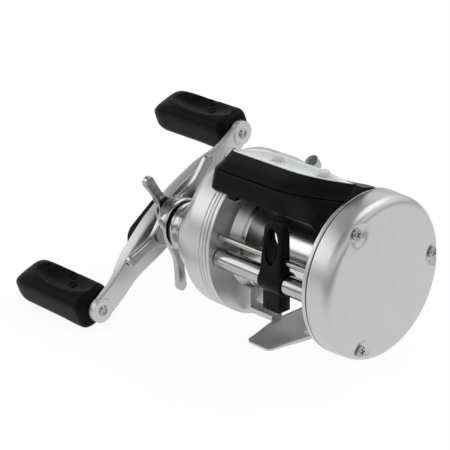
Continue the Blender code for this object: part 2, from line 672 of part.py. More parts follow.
def build_palm_plate(silver, steel):
    """Round cup with a crowned bare face and a scallop round each screw."""
    edge = PLATE_RADIUS - PALM_DRAFT
    shoulder = PALM_FACE - PALM_CROWN
    inside = PLATE_RADIUS - PALM_WALL
    floor = PALM_FACE - PALM_CROWN - PALM_FACE_WALL
    bearing = PALM_BEARING + SEAT_GAP
    pocket = PALM_BOSS_END + BEARING_WIDTH + 2 * SEAT_GAP
    corner = arc(shoulder - PALM_CORNER, edge - PALM_CORNER, PALM_CORNER, 0, 90, 3)
    profile = [(PALM_FACE, 0), (PALM_FACE - 0.2 * PALM_CROWN, PALM_CROWN_RADIUS)] + corner
    profile += [(PALM_SEAT, PLATE_RADIUS), (PALM_SEAT, inside),
                (floor - PALM_INNER_CORNER, inside - PALM_DRAFT), (floor, inside - PALM_INNER_CORNER),
                (floor, PALM_BOSS), (PALM_BOSS_END, PALM_BOSS), (PALM_BOSS_END, bearing),
                (pocket, bearing), (pocket, 0)]
    plate = turned("palm_plate", profile, SPOOL_AXIS, silver, steps=FINE)
    seat = shoulder - SCALLOP_DEPTH
    shank = SCREW_SHANK + SEAT_GAP
    hole = [(PALM_SEAT, 0), (PALM_SEAT, shank), (seat, shank), (seat, SCALLOP_RADIUS - SCALLOP_FLARE),
            (PALM_FACE + SINK, SCALLOP_RADIUS + SCALLOP_FLARE), (PALM_FACE + SINK, 0)]
    for k, angle in enumerate(PALM_SCREW_ANGLES):
        cut(plate, turned(f"palm_screw_hole_{k}", hole, on_circle(SCREW_CIRCLE, angle), steps=COARSE))
    plate_screws(1, PALM_SCREW_ANGLES, seat, BAY_PALM + SEAT_GAP, "palm_screw", steel)


def dome_profile():
    """Hollow-sided cone of the drive boss, from inside the plate's face to the collar's seat."""
    root = (GEAR_FACE + GEAR_INNER) / 2
    flank = []
    for k in range(4):
        share = k / 3
        radius = DOME_TOP + (DOME_BASE - DOME_TOP) * (1 - share) ** DOME_HOLLOW
        flank.append((root + (DOME_END - root) * share, radius))
    return [(root, 0)] + flank + [(DOME_END, 0)]


def gear_cup_profile():
    """The gear plate's own section: grooved rim, round corner, flat face and cast control hub."""
    edge = PLATE_RADIUS
    inside = edge - GEAR_WALL
    round_off = GEAR_CORNER - GEAR_WALL
    hub_top = DOME_END + CAP_HUB_DROP
    hub_end = GEAR_INNER + CAP_HUB_INSIDE
    hub_root = CAP_HUB + CAP_HUB_FOOT
    profile = [(GEAR_SEAT, inside), (GEAR_SEAT, edge)]
    for k in range(GROOVE_COUNT):
        start = GEAR_SEAT - GROOVE_START - k * GROOVE_PITCH
        end = start - GROOVE_WIDTH
        profile += [(start, edge), ((start + end) / 2, edge - GROOVE_DEPTH), (end, edge)]
    profile += arc(GEAR_FACE + GEAR_CORNER, edge - GEAR_CORNER, GEAR_CORNER, 90, 180, 3)
    profile += [(GEAR_FACE, CAP_HUB), (hub_top, CAP_HUB), (hub_top, 0), (hub_end, 0), (hub_end, hub_root),
                (GEAR_INNER, hub_root)]
    profile += arc(GEAR_INNER + round_off, inside - round_off, round_off, 180, 90, 3)
    return profile


def build_gear_plate(silver, steel):
    """Deep cup over the gears, with the drive boss and the cast control hub on its face."""
    plate = turned("gear_plate", gear_cup_profile(), SPOOL_AXIS, silver, steps=FINE)
    join(plate, turned("gear_dome", dome_profile(), HANDLE_AXIS, steps=MEDIUM + 4))
    roof = DOME_END + DOME_ROOF
    bore = COLLAR_SPIGOT + SEAT_GAP
    hollow = [(GEAR_INNER + SINK, 0), (GEAR_INNER + SINK, DOME_CAVITY), (roof, DOME_CAVITY), (roof, bore),
              (DOME_END - SINK, bore), (DOME_END - SINK, 0)]
    cut(plate, turned("dome_hollow", hollow, HANDLE_AXIS))
    cap_bore = ring(GEAR_INNER + CAP_HUB_INSIDE + SINK, DOME_END - SINK, 0, GEAR_BEARING + SEAT_GAP)
    cut(plate, turned("cap_hub_bore", cap_bore, SPOOL_AXIS, steps=COARSE + 4))
    seat = GEAR_FACE + GEAR_SCALLOP_DEPTH
    dip = SCALLOP_RADIUS - GEAR_SCALLOP_DEPTH
    shank = SCREW_SHANK + SEAT_GAP
    hole = [(GEAR_FACE - SINK, 0), (GEAR_FACE - SINK, dip), (seat, dip), (seat, shank), (GEAR_SEAT, shank),
            (GEAR_SEAT, 0)]
    for k, angle in enumerate(GEAR_SCREW_ANGLES):
        cut(plate, turned(f"gear_screw_hole_{k}", hole, on_circle(SCREW_CIRCLE, angle), steps=COARSE))
    stem = LEVER_WIDTH / 2 + RUN_GAP
    slot = [(PLATE_RADIUS - 4 * GEAR_WALL, stem), (PLATE_RADIUS + 4 * GEAR_WALL, stem)]
    slot_end = LEVER_SET + LEVER_THICK + LEVER_TRAVEL + RUN_GAP
    cut(plate, lever_plate("lever_slot", slot, LEVER_SET - RUN_GAP, slot_end))
    plate_screws(-1, GEAR_SCREW_ANGLES, seat, BAY_GEAR - SEAT_GAP, "gear_screw", steel)


def build_drive_fixed(chrome, rubber):
    """Chrome collar on the drive boss and the seal ring on its spigot."""
    bore = SHAFT_RADIUS + RUN_GAP
    inner_end = PRESSURE_END - 2 * SEAT_GAP
    spigot = SEAL_INNER - SEAT_GAP
    bevel = COLLAR_BEVEL
    profile = [(inner_end, bore), (inner_end, COLLAR_SPIGOT), (COLLAR_START, COLLAR_SPIGOT),
               (COLLAR_START, COLLAR_RADIUS), (COLLAR_END + bevel, COLLAR_RADIUS),
               (COLLAR_END, COLLAR_RADIUS - bevel), (COLLAR_END, spigot), (SPIGOT_END, spigot),
               (SPIGOT_END, bore)]
    turned("drive_collar", profile, HANDLE_AXIS, chrome, steps=MEDIUM)
    start = COLLAR_END - SEAT_GAP
    end = start - SEAL_THICK
    profile = [(start, SEAL_INNER), (start, SEAL_OUTER - bevel), (start - bevel, SEAL_OUTER),
               (end + bevel, SEAL_OUTER), (end, SEAL_OUTER - bevel), (end, SEAL_INNER)]
    turned("collar_seal", profile, HANDLE_AXIS, rubber, steps=MEDIUM)


def build_drive(parent, steel, brass, carbon):
    """Drive shaft with the main gear, the drag stack and the level wind drive gear."""
    inner = BAY_GEAR - SHAFT_BLIND - RUN_GAP
    shoulder = ARM_INNER + SEAT_GAP
    tip = NUT_END + NUT_CROWN + SEAT_GAP
    thread = NUT_BORE - SEAT_GAP
    profile = [(inner, 0), (inner, SHAFT_RADIUS), (STAR_START, SHAFT_RADIUS), (STAR_START, THREAD_RADIUS),
               (shoulder, THREAD_RADIUS), (shoulder, SEAT_RADIUS), (ARM_OUTER, SEAT_RADIUS),
               (ARM_OUTER, thread), (tip, thread), (tip, 0)]
    turned("drive_shaft", profile, HANDLE_AXIS, steel, parent, steps=COARSE + 4)
    bore = SHAFT_RADIUS + SEAT_GAP
    to_pinion = math.atan2(-HANDLE_RISE, -HANDLE_Y)
    spur_gear("main_gear", MAIN_TEETH, GEAR_MODULE, to_pinion, MAIN_START, MAIN_END, HANDLE_AXIS, bore,
              brass, parent)
    washer = ring(DRAG_START, DRAG_END, bore, DRAG_RADIUS)
    turned("drag_washer", washer, HANDLE_AXIS, carbon, parent, COARSE + 4)
    plate = ring(PRESSURE_START, PRESSURE_END, bore, DRAG_RADIUS - SEAT_GAP)
    turned("drag_pressure_plate", plate, HANDLE_AXIS, steel, parent, COARSE + 4)
    to_worm = math.atan2(TUBE_RISE - HANDLE_RISE, TUBE_Y - HANDLE_Y)
    spur_gear("wind_drive_gear", WIND_TEETH, WIND_MODULE, to_worm, WIND_START, WIND_START - WIND_WIDTH,
              HANDLE_AXIS, bore, brass, parent)


def star_outline():
    """Five waisted prongs with round tips round the star's hub."""
    prong = []
    tip_centre = STAR_REACH - PRONG_TIP
    span = tip_centre - STAR_HUB
    for share, half in ((-0.1, PRONG_ROOT), (0.14, 0.68 * PRONG_ROOT), (0.42, PRONG_WAIST),
                        (0.72, 0.95 * PRONG_WAIST)):
        prong.append((STAR_HUB + span * share, -half))
    prong += [(tip_centre + PRONG_TIP * math.sin(a), -PRONG_TIP * math.cos(a))
              for a in (math.radians(v) for v in (0, 45, 90, 135, 180))]
    prong += [(r, -half) for r, half in reversed(prong[:4])]
    outline = []
    for k in range(STAR_PRONGS):
        turn = math.radians(STAR_ANGLE) + 2 * math.pi * k / STAR_PRONGS
        outline += [(r * math.cos(turn) - w * math.sin(turn), r * math.sin(turn) + w * math.cos(turn))
                    for r, w in prong]
    return outline


def build_star(parent, chrome):
    """Star drag wheel: a turned hub with five prongs, threaded on the drive shaft."""
    sections = []
    for x in (STAR_START - PRONG_SETBACK, STAR_START - PRONG_SETBACK - PRONG_THICK):
        row = []
        for y, z in star_outline():
            sweep = PRONG_SWEEP * max(math.hypot(y, z) - STAR_HUB, 0) / (STAR_REACH - STAR_HUB)
            row.append((x + sweep, HANDLE_AXIS[0] + y, HANDLE_AXIS[1] + z))
        sections.append(row)
    star = loft("star_drag", sections, chrome, parent)
    hub = [(STAR_START, 0), (STAR_START, STAR_HUB - STAR_BEVEL), (STAR_START - STAR_BEVEL, STAR_HUB),
           (STAR_END + 2 * STAR_BEVEL, STAR_HUB), (STAR_END, STAR_HUB - 2 * STAR_BEVEL), (STAR_END, 0)]
    join(star, turned("star_hub", hub, HANDLE_AXIS, steps=MEDIUM))
    bore = ring(STAR_START + SINK, STAR_END - SINK, 0, THREAD_RADIUS + RUN_GAP)
    cut(star, turned("star_bore", bore, HANDLE_AXIS, steps=COARSE + 4))


def along_arm(reach, side, x):
    """World place of a point along the handle arm and across it."""
    y = HANDLE_AXIS[0] + reach * math.cos(ARM_ANGLE) - side * math.sin(ARM_ANGLE)
    z = HANDLE_AXIS[1] + reach * math.sin(ARM_ANGLE) + side * math.cos(ARM_ANGLE)
    return (x, y, z)


def arm_half_width(reach):
    """Half the arm's width: broad hub, slim necks and round eyes."""
    away = abs(reach)
    neck = smoothstep(ARM_TAPER_START, ARM_TAPER_END, away)
    half = (ARM_HUB_WIDTH + (ARM_NECK_WIDTH - ARM_HUB_WIDTH) * neck) / 2
    from_eye = away - ARM_REACH
    if abs(from_eye) < ARM_EYE_RADIUS:
        eye = math.sqrt(ARM_EYE_RADIUS ** 2 - from_eye ** 2)
        half = eye if from_eye > 0 else max(half, eye)
    return half


def build_arm(parent, silver):
    """Double arm, swept so that the hub stands further out than the ends."""
    inner = [ARM_REACH * k / ARM_STATIONS for k in range(ARM_STATIONS + 1)]
    rounding = [ARM_REACH + ARM_EYE_RADIUS * math.sin(math.radians(a)) for a in (20, 40, 58, 74, 87)]
    half = inner + rounding
    sections = []
    for reach in [-v for v in reversed(half)] + half[1:]:
        sweep = smoothstep(ARM_SWEEP_START, ARM_SWEEP_END, abs(reach))
        front = ARM_INNER + ARM_SWEEP * sweep
        back = front - ARM_HUB_THICK + (ARM_HUB_THICK - ARM_END_THICK) * sweep
        w = arm_half_width(reach)
        corners = ((-w, front), (w, front), (w, back), (-w, back))
        sections.append([along_arm(reach, side, x) for side, x in corners])
    arm = loft("handle_arm", sections, silver, parent)
    seat = ring(ARM_INNER + SINK, ARM_OUTER - SINK, 0, SEAT_RADIUS + SEAT_GAP)
    cut(arm, turned("arm_seat_hole", seat, HANDLE_AXIS, steps=COARSE + 4))
    for side, name in ((-1, "front"), (1, "rear")):
        eye = ring(ARM_END_INNER + SINK, ARM_END_OUTER - SINK, 0, SPINDLE_RADIUS + SEAT_GAP)
        cut(arm, turned("arm_eye_" + name, eye, along_arm(side * ARM_REACH, 0, 0)[1:], steps=COARSE))


def build_handle_fittings(parent, black, steel):
    """Lock plate and domed nut on the shaft's end, and a headed spindle for each knob."""
    straight = (LOCK_LENGTH - LOCK_WIDTH) / 2
    half = LOCK_WIDTH / 2
    outline = []
    for side in (1, -1):
        for k in range(9):
            turn = math.radians(22.5 * k - 90 * side)
            outline.append((LOCK_SHIFT + side * straight + half * math.cos(turn), half * math.sin(turn)))
    placed = [along_arm(reach, across, 0)[1:] for reach, across in outline]
    lock_end = LOCK_START - LOCK_THICK
    plate = prism("nut_lock_plate", placed, LOCK_START, lock_end, material=black, parent=parent)
    hole = ring(LOCK_START + SINK, lock_end - SINK, 0, NUT_RADIUS + SEAT_GAP)
    cut(plate, turned("lock_plate_hole", hole, HANDLE_AXIS, steps=COARSE + 4))
    blind = NUT_END + NUT_CROWN
    profile = [(LOCK_START, NUT_BORE), (LOCK_START, NUT_RADIUS), (blind, NUT_RADIUS),
               (NUT_END, 0.7 * NUT_RADIUS), (NUT_END, 0), (blind, 0), (blind, NUT_BORE)]
    turned("handle_nut", profile, HANDLE_AXIS, steel, parent, steps=COARSE + 4)
    head = ARM_END_INNER + SEAT_GAP
    top = head + SPINDLE_HEAD_HEIGHT
    end = KNOB_END + KNOB_END_WALL + RUN_GAP
    profile = [(top, 0), (top, 0.8 * SPINDLE_HEAD), (head + 0.5 * SPINDLE_HEAD_HEIGHT, SPINDLE_HEAD),
               (head, SPINDLE_HEAD), (head, SPINDLE_RADIUS), (end, SPINDLE_RADIUS), (end, 0)]
    for side, name in ((-1, "front"), (1, "rear")):
        axis = along_arm(side * ARM_REACH, 0, 0)[1:]
        turned("knob_spindle_" + name, profile, axis, steel, parent, steps=COARSE)


def knob_section(x, axis):
    """Rounded-square section of a paddle, slimmer at the neck and scooped on its upper side."""
    share = (KNOB_START - x) / KNOB_LENGTH
    swell = KNOB_NECK + (1 - KNOB_NECK) * smoothstep(0, KNOB_SWELL_END, share)
    near, far = KNOB_START - x, x - KNOB_END
    for gap, rounding in ((near, KNOB_NECK_ROUND), (far, KNOB_END_ROUND)):
        if gap < rounding:
            swell *= 1 - KNOB_END_TAPER * (1 - math.sqrt(1 - (1 - gap / rounding) ** 2))
    half_w, half_t = swell * KNOB_WIDTH / 2, swell * KNOB_THICK / 2
    scoop = min(max((share - KNOB_SCOOP_START) / (KNOB_SCOOP_END - KNOB_SCOOP_START), 0), 1)
    dip = KNOB_SCOOP * math.sin(math.pi * scoop) ** 2
    points = []
    for k in range(KNOB_SIDES):
        turn = 2 * math.pi * (k + 0.5) / KNOB_SIDES
        c, s = math.cos(turn), math.sin(turn)
        v = half_w * math.copysign(abs(c) ** KNOB_SQUARE, c)
        w = half_t * math.copysign(abs(s) ** KNOB_SQUARE, s)
        if w > 0:
            w -= dip * (1 - (v / half_w) ** 2)
        points.append((x, axis[0] + v * math.cos(KNOB_TILT) - w * math.sin(KNOB_TILT),
                       axis[1] + v * math.sin(KNOB_TILT) + w * math.cos(KNOB_TILT)))
    return points


def build_knob(name, parent, axis, rubber):
    """Rubber paddle that turns on its spindle."""
    ends = [KNOB_START - KNOB_NECK_ROUND * v for v in (0, 0.3, 1)]
    span = KNOB_LENGTH - KNOB_NECK_ROUND - KNOB_END_ROUND
    body = [ends[-1] - span * k / KNOB_STATIONS for k in range(1, KNOB_STATIONS + 1)]
    tail = [KNOB_END + KNOB_END_ROUND * v for v in (0.55, 0.22, 0.05, 0)]
    knob = loft(name, [knob_section(x, axis) for x in ends + body + tail], rubber, parent, sharp=50.0)
    bore = ring(KNOB_START + SINK, KNOB_END + KNOB_END_WALL, 0, SPINDLE_RADIUS + RUN_GAP)
    cut(knob, turned(name + "_bore", bore, axis, steps=COARSE))


def build_spool(parent, chrome, steel, brass, black):
    """Spool with its shaft, pinion and brake blocks."""
    bore = SPOOL_SHAFT + SEAT_GAP
    inner = SPOOL_HALF - FLANGE_THICK
    fillet_x = inner - ARBOR_FILLET - FLANGE_COVE
    fillet = arc(fillet_x, ARBOR_RADIUS + ARBOR_FILLET, ARBOR_FILLET, -90, 0, 2)
    lip = [(inner, SPOOL_RADIUS), (SPOOL_HALF - LIP_BEVEL, SPOOL_RADIUS),
           (SPOOL_HALF, SPOOL_RADIUS - LIP_BEVEL)]
    flank = fillet + lip
    pocket = SPOOL_HALF - BRAKE_POCKET_DEPTH
    profile = [(-SPOOL_HALF, bore)] + [(-x, r) for x, r in reversed(flank)] + flank
    profile += [(SPOOL_HALF, BRAKE_POCKET), (pocket, BRAKE_POCKET), (pocket, bore)]
    turned("spool", profile, SPOOL_AXIS, chrome, parent, steps=MEDIUM + 8)
    palm_end = PALM_BOSS_END + BEARING_WIDTH + SEAT_GAP
    step = -SPOOL_HALF - SHAFT_STEP
    gear_end = GEAR_FACE - JOURNAL_REACH
    profile = [(palm_end, 0), (palm_end, SPOOL_SHAFT), (step, SPOOL_SHAFT), (step, SPOOL_JOURNAL),
               (gear_end, SPOOL_JOURNAL), (gear_end, 0)]
    turned("spool_shaft", profile, SPOOL_AXIS, steel, parent, steps=COARSE)
    to_main = math.atan2(HANDLE_RISE, HANDLE_Y)
    spur_gear("pinion", PINION_TEETH, GEAR_MODULE, to_main + math.pi / PINION_TEETH, PINION_START,
              PINION_START + PINION_WIDTH, SPOOL_AXIS, SPOOL_JOURNAL + SEAT_GAP, brass, parent)
    half = BRAKE_BLOCK / 2
    start = pocket + SEAT_GAP
    for side, name in ((-1, "front"), (1, "rear")):
        y = side * BRAKE_CIRCLE
        block("brake_block_" + name, (start, y - half, AXIS_Z - half),
              (start + BRAKE_BLOCK_LENGTH, y + half, AXIS_Z + half), black, parent)


def build_spool_fixed(silver, steel):
    """Brake carrier and spool bearings, which the side plates hold."""
    face = SPOOL_HALF + SPOOL_GAP
    back = face + CARRIER_WALL
    end = face + CARRIER_DEPTH
    bore = PALM_BEARING
    rim = SPOOL_RADIUS - CARRIER_WALL
    seat = PALM_BOSS_END - SEAT_GAP
    profile = [(face, bore), (face, SPOOL_RADIUS), (end, SPOOL_RADIUS), (end, rim), (back, rim),
               (back, PALM_BOSS), (seat, PALM_BOSS), (seat, bore)]
    turned("brake_carrier", profile, SPOOL_AXIS, silver, steps=MEDIUM)
    start = PALM_BOSS_END + SEAT_GAP
    palm = ring(start, start + BEARING_WIDTH, SPOOL_SHAFT + RUN_GAP, PALM_BEARING)
    turned("spool_bearing_palm", palm, SPOOL_AXIS, steel, steps=COARSE)
    start = GEAR_INNER + BEARING_STANDOFF
    gear = ring(start, start - BEARING_WIDTH, SPOOL_JOURNAL + RUN_GAP, GEAR_BEARING)
    turned("spool_bearing_gear", gear, SPOOL_AXIS, steel, steps=COARSE)


def build_cast_cap(parent, chrome):
    """Ribbed cast control cap that screws into the hub at the spool's end."""
    start = DOME_END + CAP_HUB_DROP - RUN_GAP
    end = start - CAP_LENGTH
    outline = []
    for k in range(2 * CAP_RIBS):
        turn = math.pi * k / CAP_RIBS
        radius = CAP_RADIUS - CAP_RIB_DEPTH * (k % 2)
        outline.append((radius * math.cos(turn), radius * math.sin(turn)))
    cap = prism("cast_control_cap", outline, start, end, SPOOL_AXIS, chrome, parent)
    plug = ring(start - SINK, start + CAP_SPIGOT, 0, GEAR_BEARING)
    join(cap, turned("cast_cap_plug", plug, SPOOL_AXIS, steps=COARSE))


def build_level_wind(worm, steel, chrome, brass):
    """Slotted tube, guide rod, and the worm shaft with its gear."""
    low, high = BAY_GEAR + SEAT_GAP, BAY_PALM - SEAT_GAP
    wall = ring(low, high, TUBE_RADIUS - TUBE_WALL, TUBE_RADIUS)
    tube = turned("level_wind_tube", wall, TUBE_AXIS, chrome, steps=MEDIUM)
    slot_low = (low + SLOT_MARGIN, TUBE_Y - TUBE_SLOT / 2, TUBE_AXIS[1] - TUBE_RADIUS - SINK)
    slot_high = (high - SLOT_MARGIN, TUBE_Y + TUBE_SLOT / 2, TUBE_AXIS[1] - SINK)
    cut(tube, block("tube_slot", slot_low, slot_high))
    turned("guide_rod", ring(low, high, 0, ROD_RADIUS), ROD_AXIS, steel, steps=COARSE)
    gear_end = WIND_START - WIND_WIDTH
    profile = [(high, 0), (high, WORM_RADIUS), (low, WORM_RADIUS), (low, WORM_JOURNAL),
               (gear_end - SEAT_GAP, WORM_JOURNAL), (gear_end - SEAT_GAP, 0)]
    turned("worm_shaft", profile, TUBE_AXIS, steel, worm, steps=COARSE)
    to_drive = math.atan2(HANDLE_RISE - TUBE_RISE, HANDLE_Y - TUBE_Y)
    spur_gear("worm_gear", WORM_TEETH, WIND_MODULE, to_drive + math.pi / WORM_TEETH, WIND_START, gear_end,
              TUBE_AXIS, WORM_JOURNAL + SEAT_GAP, brass, worm)


def oval(width, height, x, y, z, count=14):
    """An upright oval outline facing along Y."""
    turns = [2 * math.pi * k / count for k in range(count)]
    return [(x + width / 2 * math.cos(t), y, z + height / 2 * math.sin(t)) for t in turns]


def build_line_guide(parent, black, steel):
    """Black line guide with a dished oval eye, riding on the tube and the rod, and its pawl."""
    x = GUIDE_OFFSET
    front, back = ROD_Y - GUIDE_FRONT, ROD_Y + GUIDE_BACK
    top_z = AXIS_Z + GUIDE_TOP
    crown = top_z - GUIDE_TOP_RADIUS
    outline = [(x - GUIDE_WAIST, TUBE_AXIS[1])]
    outline += [(x - GUIDE_TOP_RADIUS * math.cos(t), crown + GUIDE_TOP_RADIUS * math.sin(t))
                for t in (math.pi * k / 10 for k in range(11))]
    outline += [(x + GUIDE_WAIST, TUBE_AXIS[1])]
    guide = loft("line_guide", [[(px, y, pz) for px, pz in outline] for y in (front, back)], black, parent)
    soften(guide, GUIDE_BEVEL, angle=50.0)
    half = GUIDE_HUB_LENGTH / 2
    join(guide, turned("guide_hub", ring(x - half, x + half, 0, GUIDE_HUB_RADIUS), TUBE_AXIS, steps=MEDIUM))
    wide, deep = GUIDE_BLOCK_WIDTH / 2, GUIDE_BLOCK_DEPTH / 2
    bottom = AXIS_Z + GUIDE_BLOCK_BOTTOM
    join(guide, block("guide_block", (x - wide, TUBE_Y - deep, bottom),
                      (x + wide, TUBE_Y + deep, TUBE_AXIS[1] + SINK)))
    eye_z = top_z - EYE_DROP
    eye = [oval(EYE_WIDTH, EYE_HEIGHT, x, y, eye_z) for y in (front - SINK, back + SINK)]
    cut(guide, loft("guide_eye", eye))
    low = eye_z - (DISH_HEIGHT - EYE_HEIGHT) / 2 + DISH_LIFT
    dish = [oval(DISH_WIDTH, DISH_HEIGHT, x, front - SINK, low),
            oval(DISH_WIDER * EYE_WIDTH, DISH_WIDER * EYE_HEIGHT, x, front + DISH_DEPTH, eye_z)]
    cut(guide, loft("guide_dish", dish))
    tube = ring(x - half - SINK, x + half + SINK, 0, TUBE_RADIUS + RUN_GAP)
    cut(guide, turned("guide_tube_bore", tube, TUBE_AXIS, steps=COARSE + 4))
    rod = ring(x - half - SINK, x + half + SINK, 0, ROD_RADIUS + RUN_GAP)
    cut(guide, turned("guide_rod_bore", rod, ROD_AXIS, steps=COARSE))
    tip = TUBE_AXIS[1] - WORM_RADIUS - RUN_GAP
    foot = tip - PAWL_LENGTH
    spot = (x, TUBE_Y)
    plug_top = foot - SEAT_GAP
    bore = [(bottom - SINK, 0), (bottom - SINK, PAWL_CAP_PLUG + SEAT_GAP),
            (foot, PAWL_CAP_PLUG + SEAT_GAP), (foot, PAWL_RADIUS + SEAT_GAP),
            (TUBE_AXIS[1] - TUBE_RADIUS / 2, PAWL_RADIUS + SEAT_GAP), (TUBE_AXIS[1] - TUBE_RADIUS / 2, 0)]
    cut(guide, upright("guide_pawl_bore", bore, spot, steps=COARSE))
    profile = [(foot, 0), (foot, PAWL_RADIUS), (tip, PAWL_RADIUS), (tip, 0)]
    upright("guide_pawl", profile, spot, steel, parent, steps=TINY)
    cap_end = bottom + PAWL_CAP_RECESS
    profile = [(cap_end, 0), (cap_end, PAWL_CAP_PLUG), (plug_top, PAWL_CAP_PLUG), (plug_top, 0)]
    upright("pawl_cap", profile, spot, steel, parent, steps=COARSE)


def counter_stations():
    """Places along the counter housing, closer together at its rounded left end."""
    corner = [COUNTER_LEFT + COUNTER_CORNER * (1 - math.cos(math.radians(a))) for a in (8, 35, 62, 90)]
    level = [corner[-1] + (COUNTER_SWEEP_START - corner[-1]) * k / 3 for k in range(1, 4)]
    swept = [COUNTER_SWEEP_START + (BAY_STOP - COUNTER_SWEEP_START) * k / 6 for k in range(1, 7)]
    return corner + level + swept


def counter_setback(x):
    """How far the front wall stands back: round the left corner, and swept at the palm side."""
    share = max((x - COUNTER_SWEEP_START) / (BAY_STOP - COUNTER_SWEEP_START), 0)
    back = COUNTER_SWEEP * share ** COUNTER_SWEEP_POWER
    near = COUNTER_CORNER - (x - COUNTER_LEFT)
    if near > 0:
        back += COUNTER_CORNER - math.sqrt(COUNTER_CORNER ** 2 - near ** 2)
    return back


def counter_rear(x):
    """Where the housing's rear wall is, round at its left end."""
    near = COUNTER_REAR_CORNER - (x - COUNTER_LEFT)
    if near <= 0:
        return COUNTER_REAR
    return COUNTER_REAR - COUNTER_REAR_CORNER + math.sqrt(COUNTER_REAR_CORNER ** 2 - near ** 2)


def counter_lean(x, height):
    """Shift of a point towards the palm side, so that the left end leans in above the seam."""
    share = max(height - COUNTER_SEAM, 0) / (COUNTER_TOP - COUNTER_SEAM)
    return x + COUNTER_LEAN * share * (BAY_STOP - x) / (BAY_STOP - COUNTER_LEFT)


def counter_top(x):
    """Front edge of the sloping top: its (y, height) over the spool axis."""
    drop = COUNTER_TOP_DROP * smoothstep(COUNTER_SWEEP_START, BAY_STOP, x)
    return (-COUNTER_FRONT_TOP + COUNTER_TOP_SWEEP * counter_setback(x), COUNTER_TOP - drop)


def base_section(x):
    """Section of the counter's lower half, from the seam down."""
    leg = COUNTER_LEG * smoothstep(BAY_STOP - COUNTER_LEG_RUN, BAY_STOP, x)
    corner = counter_setback(min(x, COUNTER_SWEEP_START))
    rear = counter_rear(x)
    front = -COUNTER_FRONT_LOW + corner
    points = [(front, COUNTER_UNDER - leg), (-COUNTER_FRONT_SEAM + counter_setback(x), COUNTER_SEAM),
              (rear, COUNTER_SEAM), (rear, COUNTER_UNDER), (front + COUNTER_UNDERCUT, COUNTER_UNDER)]
    return [(x, y, AXIS_Z + h) for y, h in points]


def cover_section(x):
    """Section of the counter's upper half: hollow front slope, sloping top and rear wall."""
    seam = COUNTER_SEAM + SEAT_GAP
    seam_y = -COUNTER_FRONT_SEAM + counter_setback(x) + COUNTER_STEP
    top_y, top_h = counter_top(x)
    rear = counter_rear(x)
    points = [(seam_y, seam)]
    for share in (0.25, 0.5, 0.75):
        hollow = COUNTER_HOLLOW * math.sin(math.pi * share)
        points.append((seam_y + (top_y - seam_y) * share + 0.7 * hollow,
                       seam + (top_h - seam) * share - 0.7 * hollow))
    points += [(top_y, top_h), (rear - COUNTER_REAR_LEAN, COUNTER_REAR_TOP),
               (rear, COUNTER_REAR_TOP - COUNTER_REAR_BEVEL), (rear, seam)]
    return [(counter_lean(x, h), y, AXIS_Z + h) for y, h in points]


def window_section(x, border, sink, proud):
    """Section of the face panel in the sloping top, or of its recess."""
    top_y, top_h = counter_top(x)
    rear_y, rear_h = counter_rear(x) - COUNTER_REAR_LEAN, COUNTER_REAR_TOP
    span = rear_y - top_y
    slope = (rear_h - top_h) / span
    y_a, y_b = top_y + border, rear_y - border
    section = []
    for y, lift in ((y_a, proud), (y_b, proud), (y_b, -sink), (y_a, -sink)):
        height = top_h + slope * (y - top_y)
        section.append((counter_lean(x, height), y, AXIS_Z + height + lift))
    return section


def window_stations(border):
    """Places along the face panel, kept inside the housing's ends."""
    low, high = COUNTER_LEFT + WINDOW_LEFT + border, BAY_STOP - WINDOW_RIGHT - border
    return [low + (high - low) * k / WINDOW_STATIONS for k in range(WINDOW_STATIONS + 1)]


def build_counter(black, pale, green, steel):
    """Line counter housing in two halves, with its face panel, circuit board and cell."""
    stations = counter_stations()
    base = loft("counter_base", [base_section(x) for x in stations], black)
    over_ring = ring(2 * COUNTER_LEFT, BAY_GEAR + SEAT_GAP, 0, PLATE_RADIUS + SEAT_GAP)
    cut(base, turned("counter_ring_clearance", over_ring, SPOOL_AXIS, steps=FINE))
    floor = AXIS_Z + COUNTER_UNDER + POCKET_FLOOR
    seam = AXIS_Z + COUNTER_SEAM
    cut(base, block("counter_pocket", (POCKET_LEFT, POCKET_FRONT, floor),
                    (POCKET_RIGHT, POCKET_REAR, seam + SINK)))
    cover = loft("counter_cover", [cover_section(x) for x in stations], black)
    cut(cover, turned("cover_ring_clearance", over_ring, SPOOL_AXIS, steps=FINE))
    recess = [window_section(x, WINDOW_BORDER, WINDOW_THICK + SEAT_GAP, WINDOW_THICK)
              for x in window_stations(0)]
    cut(cover, loft("window_recess", recess))
    cut(cover, block("cover_pocket", (POCKET_LEFT, POCKET_FRONT, seam - SINK),
                     (POCKET_RIGHT, POCKET_REAR, COVER_ROOF)))
    border = WINDOW_BORDER + SEAT_GAP
    panel = [window_section(x, border, WINDOW_THICK, WINDOW_PROUD) for x in window_stations(SEAT_GAP)]
    window = loft("counter_window", panel, pale)
    over = AXIS_Z + COUNTER_TOP + SINK
    radius = BUTTON_RADIUS + RUN_GAP
    hole = [(seam, 0), (seam, radius), (over, radius), (over, 0)]
    for name, x in BUTTON_SPOTS.items():
        for piece in (cover, window):
            cut(piece, upright(f"{piece.name}_{name}_hole", hole, (x, BUTTON_Y)))
    board_low = floor + SEAT_GAP
    block("counter_board", (POCKET_LEFT + SEAT_GAP, POCKET_FRONT + SEAT_GAP, board_low),
          (POCKET_RIGHT - SEAT_GAP, POCKET_REAR - SEAT_GAP, board_low + BOARD_THICK), green)
    cell_low = board_low + BOARD_THICK + SEAT_GAP
    cell_top = cell_low + CELL_THICK
    cell = [(cell_low, 0), (cell_low, CELL_RADIUS), (cell_top, CELL_RADIUS), (cell_top, 0)]
    middle = ((POCKET_LEFT + POCKET_RIGHT) / 2, (POCKET_FRONT + POCKET_REAR) / 2)
    upright("counter_cell", cell, middle, steel)


